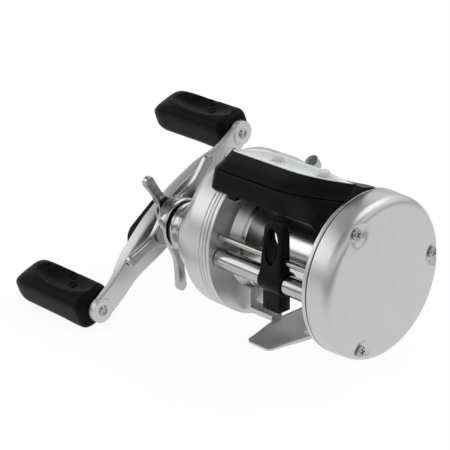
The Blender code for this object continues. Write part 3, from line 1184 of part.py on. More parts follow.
def button_height(x):
    """Height of the sloping top where a button comes through."""
    top_y, top_h = counter_top(x)
    rear_y = counter_rear(x) - COUNTER_REAR_LEAN
    return AXIS_Z + top_h + (COUNTER_REAR_TOP - top_h) * (BUTTON_Y - top_y) / (rear_y - top_y)


def build_button(name, parent, x, frosted):
    """Frosted push button, held in by a flange under the cover's roof."""
    top = button_height(x) + BUTTON_PROUD
    flange = COVER_ROOF - RUN_GAP
    profile = [(flange - BUTTON_FLANGE_THICK, 0), (flange - BUTTON_FLANGE_THICK, BUTTON_FLANGE),
               (flange, BUTTON_FLANGE), (flange, BUTTON_RADIUS), (top - BUTTON_BEVEL, BUTTON_RADIUS),
               (top, BUTTON_RADIUS - BUTTON_BEVEL), (top, 0)]
    upright("counter_button_" + name, profile, (x, BUTTON_Y), frosted, parent)


def at_lever(reach, drop):
    """The (y, z) place at a radius out along the thumb lever and a distance down its travel."""
    c, s = math.cos(LEVER_ANGLE), math.sin(LEVER_ANGLE)
    return (SPOOL_AXIS[0] + reach * c + drop * s, SPOOL_AXIS[1] + reach * s - drop * c)


def lever_plate(name, plan, drop_a, drop_b, material=None, parent=None):
    """Extrude a plan of (radius, half width) steps down the thumb lever's travel."""
    edge = [(reach, LEVER_X + half) for reach, half in plan]
    edge += [(reach, LEVER_X - half) for reach, half in reversed(plan)]
    sections = [[(x, *at_lever(reach, drop)) for reach, x in edge] for drop in (drop_a, drop_b)]
    return loft(name, sections, material, parent)


def build_lever(parent, chrome):
    """Thumb lever that drops in a slot in the gear plate, with a deep tab for the thumb."""
    stem, wide = LEVER_WIDTH / 2, LEVER_TAB_WIDTH / 2
    lowest = LEVER_SET + LEVER_THICK + LEVER_TRAVEL
    inner = math.sqrt((PLATE_RADIUS - GEAR_WALL - SEAT_GAP) ** 2 - lowest ** 2)
    tab = PLATE_RADIUS + LEVER_STANDOFF
    end = tab + LEVER_TAB_LENGTH
    plan = [(tab, 0.8 * wide), (tab + 0.4 * LEVER_TAB_LENGTH, wide),
            (tab + 0.7 * LEVER_TAB_LENGTH, wide), (end, 0.6 * wide)]
    lever = lever_plate("release_lever", plan, 0, LEVER_TAB_DEPTH, chrome, parent)
    stalk = [(inner - LEVER_INNER, wide), (inner, wide), (inner, stem), (tab + 0.5 * LEVER_TAB_LENGTH, stem)]
    join(lever, lever_plate("lever_stalk", stalk, LEVER_SET, LEVER_SET + LEVER_THICK))


def main():
    """Build every piece of the reel."""
    clear_scene()
    silver = finish("satin_silver", (0.70, 0.71, 0.72), 0.38, 0.9)
    chrome = finish("polished_chrome", (0.80, 0.80, 0.81), 0.10, 1.0)
    steel = finish("plain_steel", (0.56, 0.55, 0.53), 0.30, 1.0)
    brass = finish("gear_brass", (0.72, 0.55, 0.26), 0.35, 1.0)
    black = finish("black_plastic", (0.018, 0.018, 0.020), 0.36, 0.0)
    rubber = finish("black_rubber", (0.022, 0.022, 0.023), 0.60, 0.0)
    pale = finish("pale_face", (0.72, 0.78, 0.79), 0.30, 0.0)
    frosted = finish("frosted_plastic", (0.70, 0.72, 0.68), 0.45, 0.0)
    carbon = finish("drag_fibre", (0.05, 0.05, 0.05), 0.80, 0.0)
    green = finish("circuit_board", (0.03, 0.16, 0.07), 0.55, 0.0)

    handle = pivot("handle_pivot", 0, HANDLE_AXIS)
    star = pivot("star_pivot", 0, HANDLE_AXIS)
    spool = pivot("spool_pivot", 0, SPOOL_AXIS)
    cap = pivot("cast_cap_pivot", 0, SPOOL_AXIS)
    worm = pivot("worm_pivot", 0, TUBE_AXIS)
    guide = pivot("guide_pivot", GUIDE_OFFSET, TUBE_AXIS)
    lever = pivot("lever_pivot", LEVER_X, on_circle(PLATE_RADIUS, math.degrees(LEVER_ANGLE)))

    build_frame(silver)
    build_pillars(chrome)
    build_foot(silver)
    build_rivets(steel)
    build_palm_plate(silver, steel)
    build_gear_plate(silver, steel)
    build_drive_fixed(chrome, rubber)
    build_drive(handle, steel, brass, carbon)
    build_star(star, chrome)
    build_arm(handle, silver)
    build_handle_fittings(handle, black, steel)
    for side, name in ((-1, "front"), (1, "rear")):
        axis = along_arm(side * ARM_REACH, 0, 0)[1:]
        build_knob("knob_" + name, pivot(f"knob_{name}_pivot", KNOB_START, axis), axis, rubber)
    build_spool(spool, chrome, steel, brass, black)
    build_spool_fixed(silver, steel)
    build_cast_cap(cap, chrome)
    build_level_wind(worm, steel, chrome, brass)
    build_line_guide(guide, black, steel)
    build_counter(black, pale, green, steel)
    for name, x in BUTTON_SPOTS.items():
        place = (BUTTON_Y, button_height(x))
        build_button(name, pivot(f"button_{name}_pivot", x, place), x, frosted)
    build_lever(lever, chrome)
    weld_cuts()


main()
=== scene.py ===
"""Looks of a round multiplying reel with a line counter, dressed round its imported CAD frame."""
import json
import logging
import math
from dataclasses import dataclass, field
from enum import Enum
from typing import Callable, Sequence

import bpy
from mathutils import Matrix, Vector

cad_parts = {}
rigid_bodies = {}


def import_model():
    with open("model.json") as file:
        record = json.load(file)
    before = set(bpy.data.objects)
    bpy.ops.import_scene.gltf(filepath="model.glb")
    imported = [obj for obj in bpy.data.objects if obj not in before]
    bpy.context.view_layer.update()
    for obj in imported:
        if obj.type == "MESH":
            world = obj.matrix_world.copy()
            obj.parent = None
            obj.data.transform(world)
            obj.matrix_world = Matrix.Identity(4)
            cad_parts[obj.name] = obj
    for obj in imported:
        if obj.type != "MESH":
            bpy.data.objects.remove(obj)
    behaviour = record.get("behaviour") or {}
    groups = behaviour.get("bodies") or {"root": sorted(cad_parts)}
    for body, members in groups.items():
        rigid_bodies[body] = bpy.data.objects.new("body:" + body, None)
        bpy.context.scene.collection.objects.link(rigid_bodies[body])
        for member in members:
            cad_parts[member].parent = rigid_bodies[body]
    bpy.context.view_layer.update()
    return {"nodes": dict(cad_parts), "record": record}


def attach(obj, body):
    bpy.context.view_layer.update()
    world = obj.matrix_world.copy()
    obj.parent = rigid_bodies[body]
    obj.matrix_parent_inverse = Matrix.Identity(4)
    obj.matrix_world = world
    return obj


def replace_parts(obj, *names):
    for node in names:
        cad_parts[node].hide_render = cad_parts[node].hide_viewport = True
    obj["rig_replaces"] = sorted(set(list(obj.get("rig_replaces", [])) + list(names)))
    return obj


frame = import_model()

LOG = logging.getLogger("reel")
MM = 0.001
MERGE = 2e-6
COAT_ROUGHNESS = 0.08
GLOW_COLOUR = (1.0, 1.0, 0.9)
GLOW_REACH = 1.2
BROAD_MARKS = 12.0
NOISE_SPAN = (0.3, 0.7)
LEAST_ROUGHNESS = 0.02
MARK_STRENGTH = 0.5

Object = bpy.types.Object
Place = tuple[float, float, float]
Pair = tuple[float, float]


class Joinery(Enum):
    """How one solid is worked into another."""

    CUT = "DIFFERENCE"
    JOIN = "UNION"


def settle() -> None:
    """Leave edit mode and deselect everything."""
    if bpy.context.mode != "OBJECT":
        bpy.ops.object.mode_set(mode="OBJECT")
    bpy.ops.object.select_all(action="DESELECT")


def activate(piece: Object) -> None:
    """Select one piece and make it the active one."""
    settle()
    piece.select_set(True)
    bpy.context.view_layer.objects.active = piece


def smoothstep(low: float, high: float, value: float) -> float:
    """Ease from 0 at low to 1 at high."""
    share = min(max((value - low) / (high - low), 0.0), 1.0)
    return share * share * (3.0 - 2.0 * share)


def soft_min(a: float, b: float, blend: float) -> float:
    """Take the lower of two values, with a rounded change from one to the other."""
    share = max(blend - abs(a - b), 0.0) / blend
    return min(a, b) - share * share * blend / 4.0


def soft_max(a: float, b: float, blend: float) -> float:
    """Take the higher of two values, with a rounded change from one to the other."""
    return -soft_min(-a, -b, blend)


def spread(low: float, high: float, count: int) -> list[float]:
    """Places evenly spread from low to high, both ends kept."""
    return [low + (high - low) * k / (count - 1) for k in range(count)]


def rounded(points: Sequence[Pair], radius: float, steps: int = 5, closed: bool = False) -> list[Pair]:
    """Round the corners of a line.

    Args:
        points: the corners, in order.
        radius: how far the rounding reaches along each side, in millimetres.
        steps: edges in each rounding.
        closed: whether the line comes back to its start.

    Returns:
        The line with each corner replaced by a short curve.
    """
    line: list[Pair] = []
    last = len(points) - 1
    for k, corner in enumerate(points):
        if not closed and k in (0, last):
            line.append(corner)
            continue
        here = Vector(corner)
        before, after = Vector(points[k - 1]) - here, Vector(points[(k + 1) % len(points)]) - here
        reach = min(radius, 0.45 * before.length, 0.45 * after.length)
        start, end = here + before.normalized() * reach, here + after.normalized() * reach
        for share in spread(0.0, 1.0, steps + 1):
            spot = start * (1 - share) ** 2 + here * 2 * share * (1 - share) + end * share ** 2
            line.append((spot.x, spot.y))
    return line


def even(points: Sequence[Pair], count: int) -> list[Pair]:
    """Spread points evenly by length along a closed line.

    Args:
        points: the closed line.
        count: how many points to lay on it.

    Returns:
        The evenly spread points.
    """
    ring = [Vector(p) for p in points] + [Vector(points[0])]
    reach = [0.0]
    for a, b in zip(ring, ring[1:]):
        reach.append(reach[-1] + (b - a).length)
    line: list[Pair] = []
    k = 0
    for step in range(count):
        goal = reach[-1] * step / count
        while reach[k + 1] < goal:
            k += 1
        share = (goal - reach[k]) / max(reach[k + 1] - reach[k], 1e-12)
        spot = ring[k].lerp(ring[k + 1], share)
        line.append((spot.x, spot.y))
    return line


def start_vertex(name: str, place: Place) -> Object:
    """Start a piece as one vertex.

    Args:
        name: the piece's name.
        place: where the vertex goes, in millimetres.

    Returns:
        The new piece, in edit mode with its vertex selected.
    """
    settle()
    bpy.ops.mesh.primitive_plane_add(size=MM, location=(0.0, 0.0, 0.0))
    piece = bpy.context.object
    piece.name = name
    bpy.ops.object.mode_set(mode="EDIT")
    bpy.ops.mesh.merge(type="CENTER")
    bpy.ops.transform.translate(value=Vector(place) * MM)
    return piece


def trace(places: Sequence[Place]) -> None:
    """Extrude the selected vertex along a line of places."""
    for start, end in zip(places, places[1:]):
        step = (Vector(end) - Vector(start)) * MM
        bpy.ops.mesh.extrude_region_move(TRANSFORM_OT_translate={"value": step})


def close_up(piece: Object) -> Object:
    """Merge doubles, turn the faces outwards and leave edit mode.

    Args:
        piece: the piece that is in edit mode.

    Returns:
        The same piece.
    """
    bpy.ops.mesh.select_all(action="SELECT")
    bpy.ops.mesh.remove_doubles(threshold=MERGE)
    bpy.ops.mesh.dissolve_degenerate(threshold=MERGE / 4)
    bpy.ops.mesh.select_all(action="SELECT")
    bpy.ops.mesh.normals_make_consistent(inside=False)
    settle()
    return piece


def spun(name: str, places: Sequence[Place], centre: Place, axis: Place, steps: int) -> Object:
    """Trace a line and spin it round an axis.

    Args:
        name: the piece's name.
        places: the line, in millimetres.
        centre: a point on the axis, in millimetres.
        axis: the axis.
        steps: facets round the piece.

    Returns:
        The spun piece.
    """
    piece = start_vertex(name, places[0])
    trace(places)
    bpy.ops.mesh.select_all(action="SELECT")
    bpy.ops.mesh.spin(steps=steps, angle=2 * math.pi, center=Vector(centre) * MM, axis=axis, use_auto_merge=True)
    return close_up(piece)


def turned(name: str, profile: Sequence[Pair], axis: Pair, steps: int = 96) -> Object:
    """Turn a profile of (x, radius) round an axis along X at (y, z)."""
    y, z = axis
    return spun(name, [(x, y, z + r) for x, r in profile], (0.0, y, z), (1.0, 0.0, 0.0), steps)


def peg(start: float, end: float, radius: float) -> list[Pair]:
    """Profile of a plain round peg between two places along its axis."""
    return [(start, 0.0), (start, radius), (end, radius), (end, 0.0)]


def ring(name: str, corners: Sequence[Pair], radius: float, steps: int, axis: Pair, facets: int) -> Object:
    """Turn a closed section with rounded corners round an axis along X.

    Args:
        name: the piece's name.
        corners: corners of the section as (x, radius).
        radius: rounding of the corners, in millimetres.
        steps: edges in each rounding.
        axis: (y, z) of the axis.
        facets: facets round the piece.

    Returns:
        The turned ring.
    """
    line = rounded(corners, radius, steps, closed=True)
    return turned(name, line + line[:1], axis, facets)


def upright(name: str, profile: Sequence[Pair], spot: Pair, steps: int = 64) -> Object:
    """Turn a profile of (z, radius) round an upright axis at (x, y)."""
    x, y = spot
    return spun(name, [(x + r, y, z) for z, r in profile], (x, y, 0.0), (0.0, 0.0, 1.0), steps)


def slab(name: str, outline: Sequence[Place], push: Place) -> Object:
    """Trace an outline, fill it and extrude it.

    Args:
        name: the piece's name.
        outline: the closed outline, in millimetres.
        push: how far and which way the face is extruded, in millimetres.

    Returns:
        The extruded piece.
    """
    piece = start_vertex(name, outline[0])
    trace(list(outline) + [outline[0]])
    bpy.ops.mesh.select_all(action="SELECT")
    bpy.ops.mesh.remove_doubles(threshold=MERGE)
    bpy.ops.mesh.edge_face_add()
    bpy.ops.mesh.extrude_region_move(TRANSFORM_OT_translate={"value": Vector(push) * MM})
    return close_up(piece)


def box(name: str, low: Place, high: Place) -> Object:
    """Extrude a box between two corners given in millimetres."""
    (xa, ya, za), (xb, yb, zb) = low, high
    return slab(name, [(xa, ya, za), (xb, ya, za), (xb, yb, za), (xa, yb, za)], (0.0, 0.0, zb - za))


def skin(name: str, sections: Sequence[Sequence[Place]]) -> Object:
    """Stretch a grid over closed sections and cap its ends.

    Args:
        name: the piece's name.
        sections: closed sections with the same count of points, in millimetres.

    Returns:
        The closed piece.
    """
    rows, columns = len(sections), len(sections[0])
    settle()
    bpy.ops.mesh.primitive_grid_add(x_subdivisions=columns, y_subdivisions=rows - 1, size=2.0)
    piece = bpy.context.object
    piece.name = name
    for vertex in piece.data.vertices:
        column = round((vertex.co.x + 1.0) / 2.0 * columns) % columns
        row = round((vertex.co.y + 1.0) / 2.0 * (rows - 1))
        vertex.co = Vector(sections[row][column]) * MM
    bpy.ops.object.mode_set(mode="EDIT")
    bpy.ops.mesh.select_all(action="SELECT")
    bpy.ops.mesh.remove_doubles(threshold=MERGE)
    bpy.ops.mesh.select_all(action="DESELECT")
    bpy.ops.mesh.select_non_manifold(extend=False, use_wire=False, use_multi_face=False,
                                     use_non_contiguous=False, use_verts=False)
    bpy.ops.mesh.fill_holes(sides=0)
    return close_up(piece)


def apply(piece: Object, modifier: bpy.types.Modifier) -> None:
    """Apply one modifier of a piece."""
    activate(piece)
    bpy.ops.object.modifier_apply(modifier=modifier.name)


def work(piece: Object, tool: Object, way: Joinery) -> Object:
    """Cut a tool out of a piece or join it on.

    Args:
        piece: the piece that stays.
        tool: the solid that is used up.
        way: cut or join.

    Returns:
        The piece.
    """
    modifier = piece.modifiers.new("work", "BOOLEAN")
    modifier.operation = way.value
    modifier.solver = "EXACT"
    modifier.object = tool
    apply(piece, modifier)
    bpy.data.objects.remove(tool, do_unlink=True)
    return piece


def soften(piece: Object, width: float, segments: int = 3, angle: float = 35.0) -> Object:
    """Bevel the sharp edges of a piece.

    Args:
        piece: the piece.
        width: the bevel's width in millimetres.
        segments: edges across the bevel.
        angle: the least angle of an edge that is bevelled, in degrees.

    Returns:
        The piece.
    """
    modifier = piece.modifiers.new("soften", "BEVEL")
    modifier.width = width * MM
    modifier.segments = segments
    modifier.limit_method = "ANGLE"
    modifier.angle_limit = math.radians(angle)
    apply(piece, modifier)
    return piece


def reshape(piece: Object, move: Callable[[Vector], Vector]) -> Object:
    """Move each vertex of a piece by a rule in millimetres."""
    for vertex in piece.data.vertices:
        vertex.co = move(vertex.co / MM) * MM
    return piece


def copy_of(piece: Object, name: str, change: Matrix) -> Object:
    """Copy a piece with its own mesh.

    Args:
        piece: the piece that was modelled.
        name: the copy's name.
        change: how the copy's mesh is moved, in metres.

    Returns:
        The copy.
    """
    made = piece.copy()
    made.data = piece.data.copy()
    made.name = name
    bpy.context.scene.collection.objects.link(made)
    made.data.transform(change)
    return made


def shift(x: float, y: float, z: float) -> Matrix:
    """A move in millimetres."""
    return Matrix.Translation(Vector((x, y, z)) * MM)


def turn_x(degrees: float, axis: Pair) -> Matrix:
    """A turn about an axis along X at (y, z) in millimetres."""
    there = shift(0.0, *axis)
    return there @ Matrix.Rotation(math.radians(degrees), 4, "X") @ there.inverted()


def on_circle(radius: float, degrees: float, axis: Pair) -> Pair:
    """The (y, z) place at an angle on a circle round an axis."""
    turn = math.radians(degrees)
    return (axis[0] + radius * math.cos(turn), axis[1] + radius * math.sin(turn))


def feed(tree: bpy.types.NodeTree, node: bpy.types.Node, sources: dict[str | int, object]) -> None:
    """Set each input of a node to a constant, or link it to the socket that feeds it."""
    for name, source in sources.items():
        if isinstance(source, bpy.types.NodeSocket):
            tree.links.new(source, node.inputs[name])
        else:
            node.inputs[name].default_value = source


def add_node(tree: bpy.types.NodeTree, kind: str, sources: dict[str | int, object],
             operation: str = "") -> bpy.types.Node:
    """Add a shader node with its inputs.

    Args:
        tree: the nodes it joins.
        kind: the node's type.
        sources: a constant or a feeding socket for each input.
        operation: what a math node works out.

    Returns:
        The new node.
    """
    made = tree.nodes.new(kind)
    if operation:
        made.operation = operation
    feed(tree, made, sources)
    return made


class Grain(Enum):
    """Which way a finish's fine marks run."""

    EVEN = (1.0, 1.0, 1.0)
    ROUND_X = (1.0, 0.35, 0.35)


@dataclass(frozen=True)
class Finish:
    """A surface finish with its colour, gloss and fine marks.

    Attributes:
        slot: the record's material slot.
        colour: linear base colour.
        roughness: middle roughness.
        metallic: 1 for bare metal.
        swing: how far the roughness wanders.
        tint: how far the colour wanders, as a share.
        marks: fine marks in each metre.
        relief: depth of the fine marks, in millimetres.
        grain: which way the marks run.
        coat: clear coat weight.
        specular: specular level.
        through: share of light that passes into the piece.
        look: name of the look, where one slot has more than one.
    """

    slot: str
    colour: Place
    roughness: float
    metallic: float = 0.0
    swing: float = 0.05
    tint: float = 0.05
    marks: float = 1800.0
    relief: float = 0.01
    grain: Grain = Grain.EVEN
    coat: float = 0.0
    specular: float = 0.5
    through: float = 0.0
    look: str = ""

    def material(self) -> bpy.types.Material:
        """Build the material once and hand it out after that.

        Returns:
            The procedural material of this finish.
        """
        name = "finish_" + (self.look or self.slot)
        made = bpy.data.materials.get(name)
        if made is not None:
            return made
        made = bpy.data.materials.new(name)
        made.use_nodes = True
        tree = made.node_tree
        shader = tree.nodes["Principled BSDF"]
        feed(tree, shader, {"Metallic": self.metallic, "Coat Weight": self.coat,
                            "Coat Roughness": COAT_ROUGHNESS, "Specular IOR Level": self.specular})
        if self.through:
            feed(tree, shader, {"Subsurface Weight": self.through, "Subsurface Radius": GLOW_COLOUR,
                                "Subsurface Scale": GLOW_REACH * MM})
        place = add_node(tree, "ShaderNodeTexCoord", {}).outputs["Object"]
        grained = add_node(tree, "ShaderNodeMapping", {"Scale": self.grain.value, "Vector": place})
        broad = self.noise(tree, place, self.marks / BROAD_MARKS, 3.0)
        fine = self.noise(tree, grained.outputs["Vector"], self.marks, 2.0)
        self.wander(tree, broad, fine, shader)
        self.emboss(tree, fine, shader)
        return made

    def noise(self, tree: bpy.types.NodeTree, vector: bpy.types.NodeSocket, scale: float,
              detail: float) -> bpy.types.NodeSocket:
        """Add a noise texture and return its value socket."""
        feeds = {"Scale": scale, "Detail": detail, "Vector": vector}
        return add_node(tree, "ShaderNodeTexNoise", feeds).outputs["Fac"]

    def wander(self, tree: bpy.types.NodeTree, broad: bpy.types.NodeSocket, fine: bpy.types.NodeSocket,
               shader: bpy.types.Node) -> None:
        """Let the colour follow the broad marks and the roughness follow the fine ones.

        Args:
            tree: the material's nodes.
            broad: noise of broad marks.
            fine: noise of fine marks.
            shader: the Principled node.
        """
        ramp = add_node(tree, "ShaderNodeValToRGB", {"Fac": broad})
        dark, light = ramp.color_ramp.elements
        dark.position, light.position = NOISE_SPAN
        dark.color = (*[min(c * (1 - self.tint), 1.0) for c in self.colour], 1.0)
        light.color = (*[min(c * (1 + self.tint), 1.0) for c in self.colour], 1.0)
        span = add_node(tree, "ShaderNodeMapRange", {
            "From Min": NOISE_SPAN[0], "From Max": NOISE_SPAN[1], "Value": fine,
            "To Min": max(self.roughness - self.swing, LEAST_ROUGHNESS), "To Max": self.roughness + self.swing})
        feed(tree, shader, {"Base Color": ramp.outputs["Color"], "Roughness": span.outputs["Result"]})

    def emboss(self, tree: bpy.types.NodeTree, fine: bpy.types.NodeSocket, shader: bpy.types.Node) -> None:
        """Raise the fine marks a little.

        Args:
            tree: the material's nodes.
            fine: noise of fine marks.
            shader: the Principled node.
        """
        bump = add_node(tree, "ShaderNodeBump",
                        {"Strength": MARK_STRENGTH, "Distance": self.relief * MM, "Height": fine})
        feed(tree, shader, {"Normal": bump.outputs["Normal"]})


@dataclass(frozen=True)
class Woven(Finish):
    """A woven sheet: crossing threads stand up from it."""

    thread: float = 900.0

    def emboss(self, tree: bpy.types.NodeTree, fine: bpy.types.NodeSocket, shader: bpy.types.Node) -> None:
        """Raise a checker of threads in place of even marks."""
        place = add_node(tree, "ShaderNodeTexCoord", {}).outputs["Object"]
        checker = add_node(tree, "ShaderNodeTexChecker", {"Scale": self.thread, "Vector": place})
        bump = add_node(tree, "ShaderNodeBump",
                        {"Distance": self.relief * MM, "Height": checker.outputs["Fac"]})
        feed(tree, shader, {"Normal": bump.outputs["Normal"]})


SATIN_SILVER = Finish("satin_silver", (0.59, 0.595, 0.60), 0.36, 0.88, swing=0.05, tint=0.02, marks=2600.0,
                      relief=0.006)
POLISHED_CHROME = Finish("polished_chrome", (0.44, 0.445, 0.45), 0.16, 1.0, swing=0.03, tint=0.02, marks=900.0,
                         relief=0.002)
TURNED_METAL = Finish("polished_chrome", (0.66, 0.66, 0.665), 0.24, 1.0, swing=0.015, tint=0.03, marks=350.0,
                      relief=0.0001, grain=Grain.ROUND_X, look="turned_metal")
PLAIN_STEEL = Finish("plain_steel", (0.42, 0.40, 0.37), 0.26, 1.0, swing=0.08, tint=0.06, marks=1800.0,
                     relief=0.004, grain=Grain.ROUND_X)
GEAR_BRASS = Finish("gear_brass", (0.72, 0.52, 0.24), 0.28, 1.0, swing=0.08, tint=0.08, marks=1600.0, relief=0.005)
BLACK_PLASTIC = Finish("black_plastic", (0.005, 0.005, 0.0055), 0.34, swing=0.05, tint=0.15, marks=2400.0,
                       relief=0.003, specular=0.1)
BLACK_RUBBER = Finish("black_rubber", (0.003, 0.003, 0.0033), 0.42, swing=0.06, tint=0.2, marks=3200.0,
                      relief=0.005, specular=0.07)
PALE_FACE = Finish("pale_face", (0.76, 0.80, 0.81), 0.2, swing=0.03, tint=0.02, marks=700.0, relief=0.001, coat=0.4)
FROSTED_PLASTIC = Finish("frosted_plastic", (0.64, 0.68, 0.63), 0.38, swing=0.05, tint=0.03, marks=2600.0,
                         relief=0.006, through=0.4)
DRAG_FIBRE = Woven("drag_fibre", (0.05, 0.05, 0.05), 0.6, swing=0.08, tint=0.25, relief=0.04)
CIRCUIT_BOARD = Woven("circuit_board", (0.03, 0.16, 0.07), 0.45, swing=0.1, tint=0.3, relief=0.02, thread=700.0)
FINISHES = {f.slot: f for f in (SATIN_SILVER, POLISHED_CHROME, PLAIN_STEEL, GEAR_BRASS, BLACK_PLASTIC, BLACK_RUBBER,
                                PALE_FACE, FROSTED_PLASTIC, DRAG_FIBRE, CIRCUIT_BOARD)}


def dress(piece: Object, finish: Finish, body: str, *nodes: str, angle: float = 30.0) -> Object:
    """Give a piece its finish and its body, and let it stand for its CAD nodes.

    Args:
        piece: the finished mesh.
        finish: its finish.
        body: the CAD body it moves with.
        nodes: the CAD nodes it stands for.
        angle: edges sharper than this stay sharp, in degrees.

    Returns:
        The piece.
    """
    activate(piece)
    bpy.ops.object.shade_smooth_by_angle(angle=math.radians(angle))
    piece.data.materials.clear()
    piece.data.materials.append(finish.material())
    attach(piece, body)
    if nodes:
        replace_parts(piece, *nodes)
    settle()
    LOG.info("%s: %d faces", piece.name, len(piece.data.polygons))
    return piece


@dataclass(frozen=True)
class Layout:
    """Places that the sub-assemblies share, in millimetres.

    Attributes:
        spool_axis: (y, z) of the spool.
        handle_axis: (y, z) of the handle.
        tube_axis: (y, z) of the level wind tube.
        rod_axis: (y, z) of the guide rod.
        bay: half the room between the frame's rings.
        ring: thickness of a frame ring.
        gap: clearance between pieces that touch.
        plate_radius: radius of the side plates.
        screw_circle: radius of the circle that the plate screws stand on.
    """

    spool_axis: Pair = (0.0, 26.0)
    handle_axis: Pair = (-14.1, 26.2)
    tube_axis: Pair = (-22.7, 24.6)
    rod_axis: Pair = (-22.9, 32.2)
    bay: float = 20.9
    ring: float = 1.5
    gap: float = 0.3
    plate_radius: float = 28.0
    screw_circle: float = 24.3

    @property
    def palm_seat(self) -> float:
        """Where the palm plate starts."""
        return self.bay + self.ring + self.gap

    @property
    def gear_seat(self) -> float:
        """Where the gear plate starts."""
        return -self.palm_seat


LAYOUT = Layout()


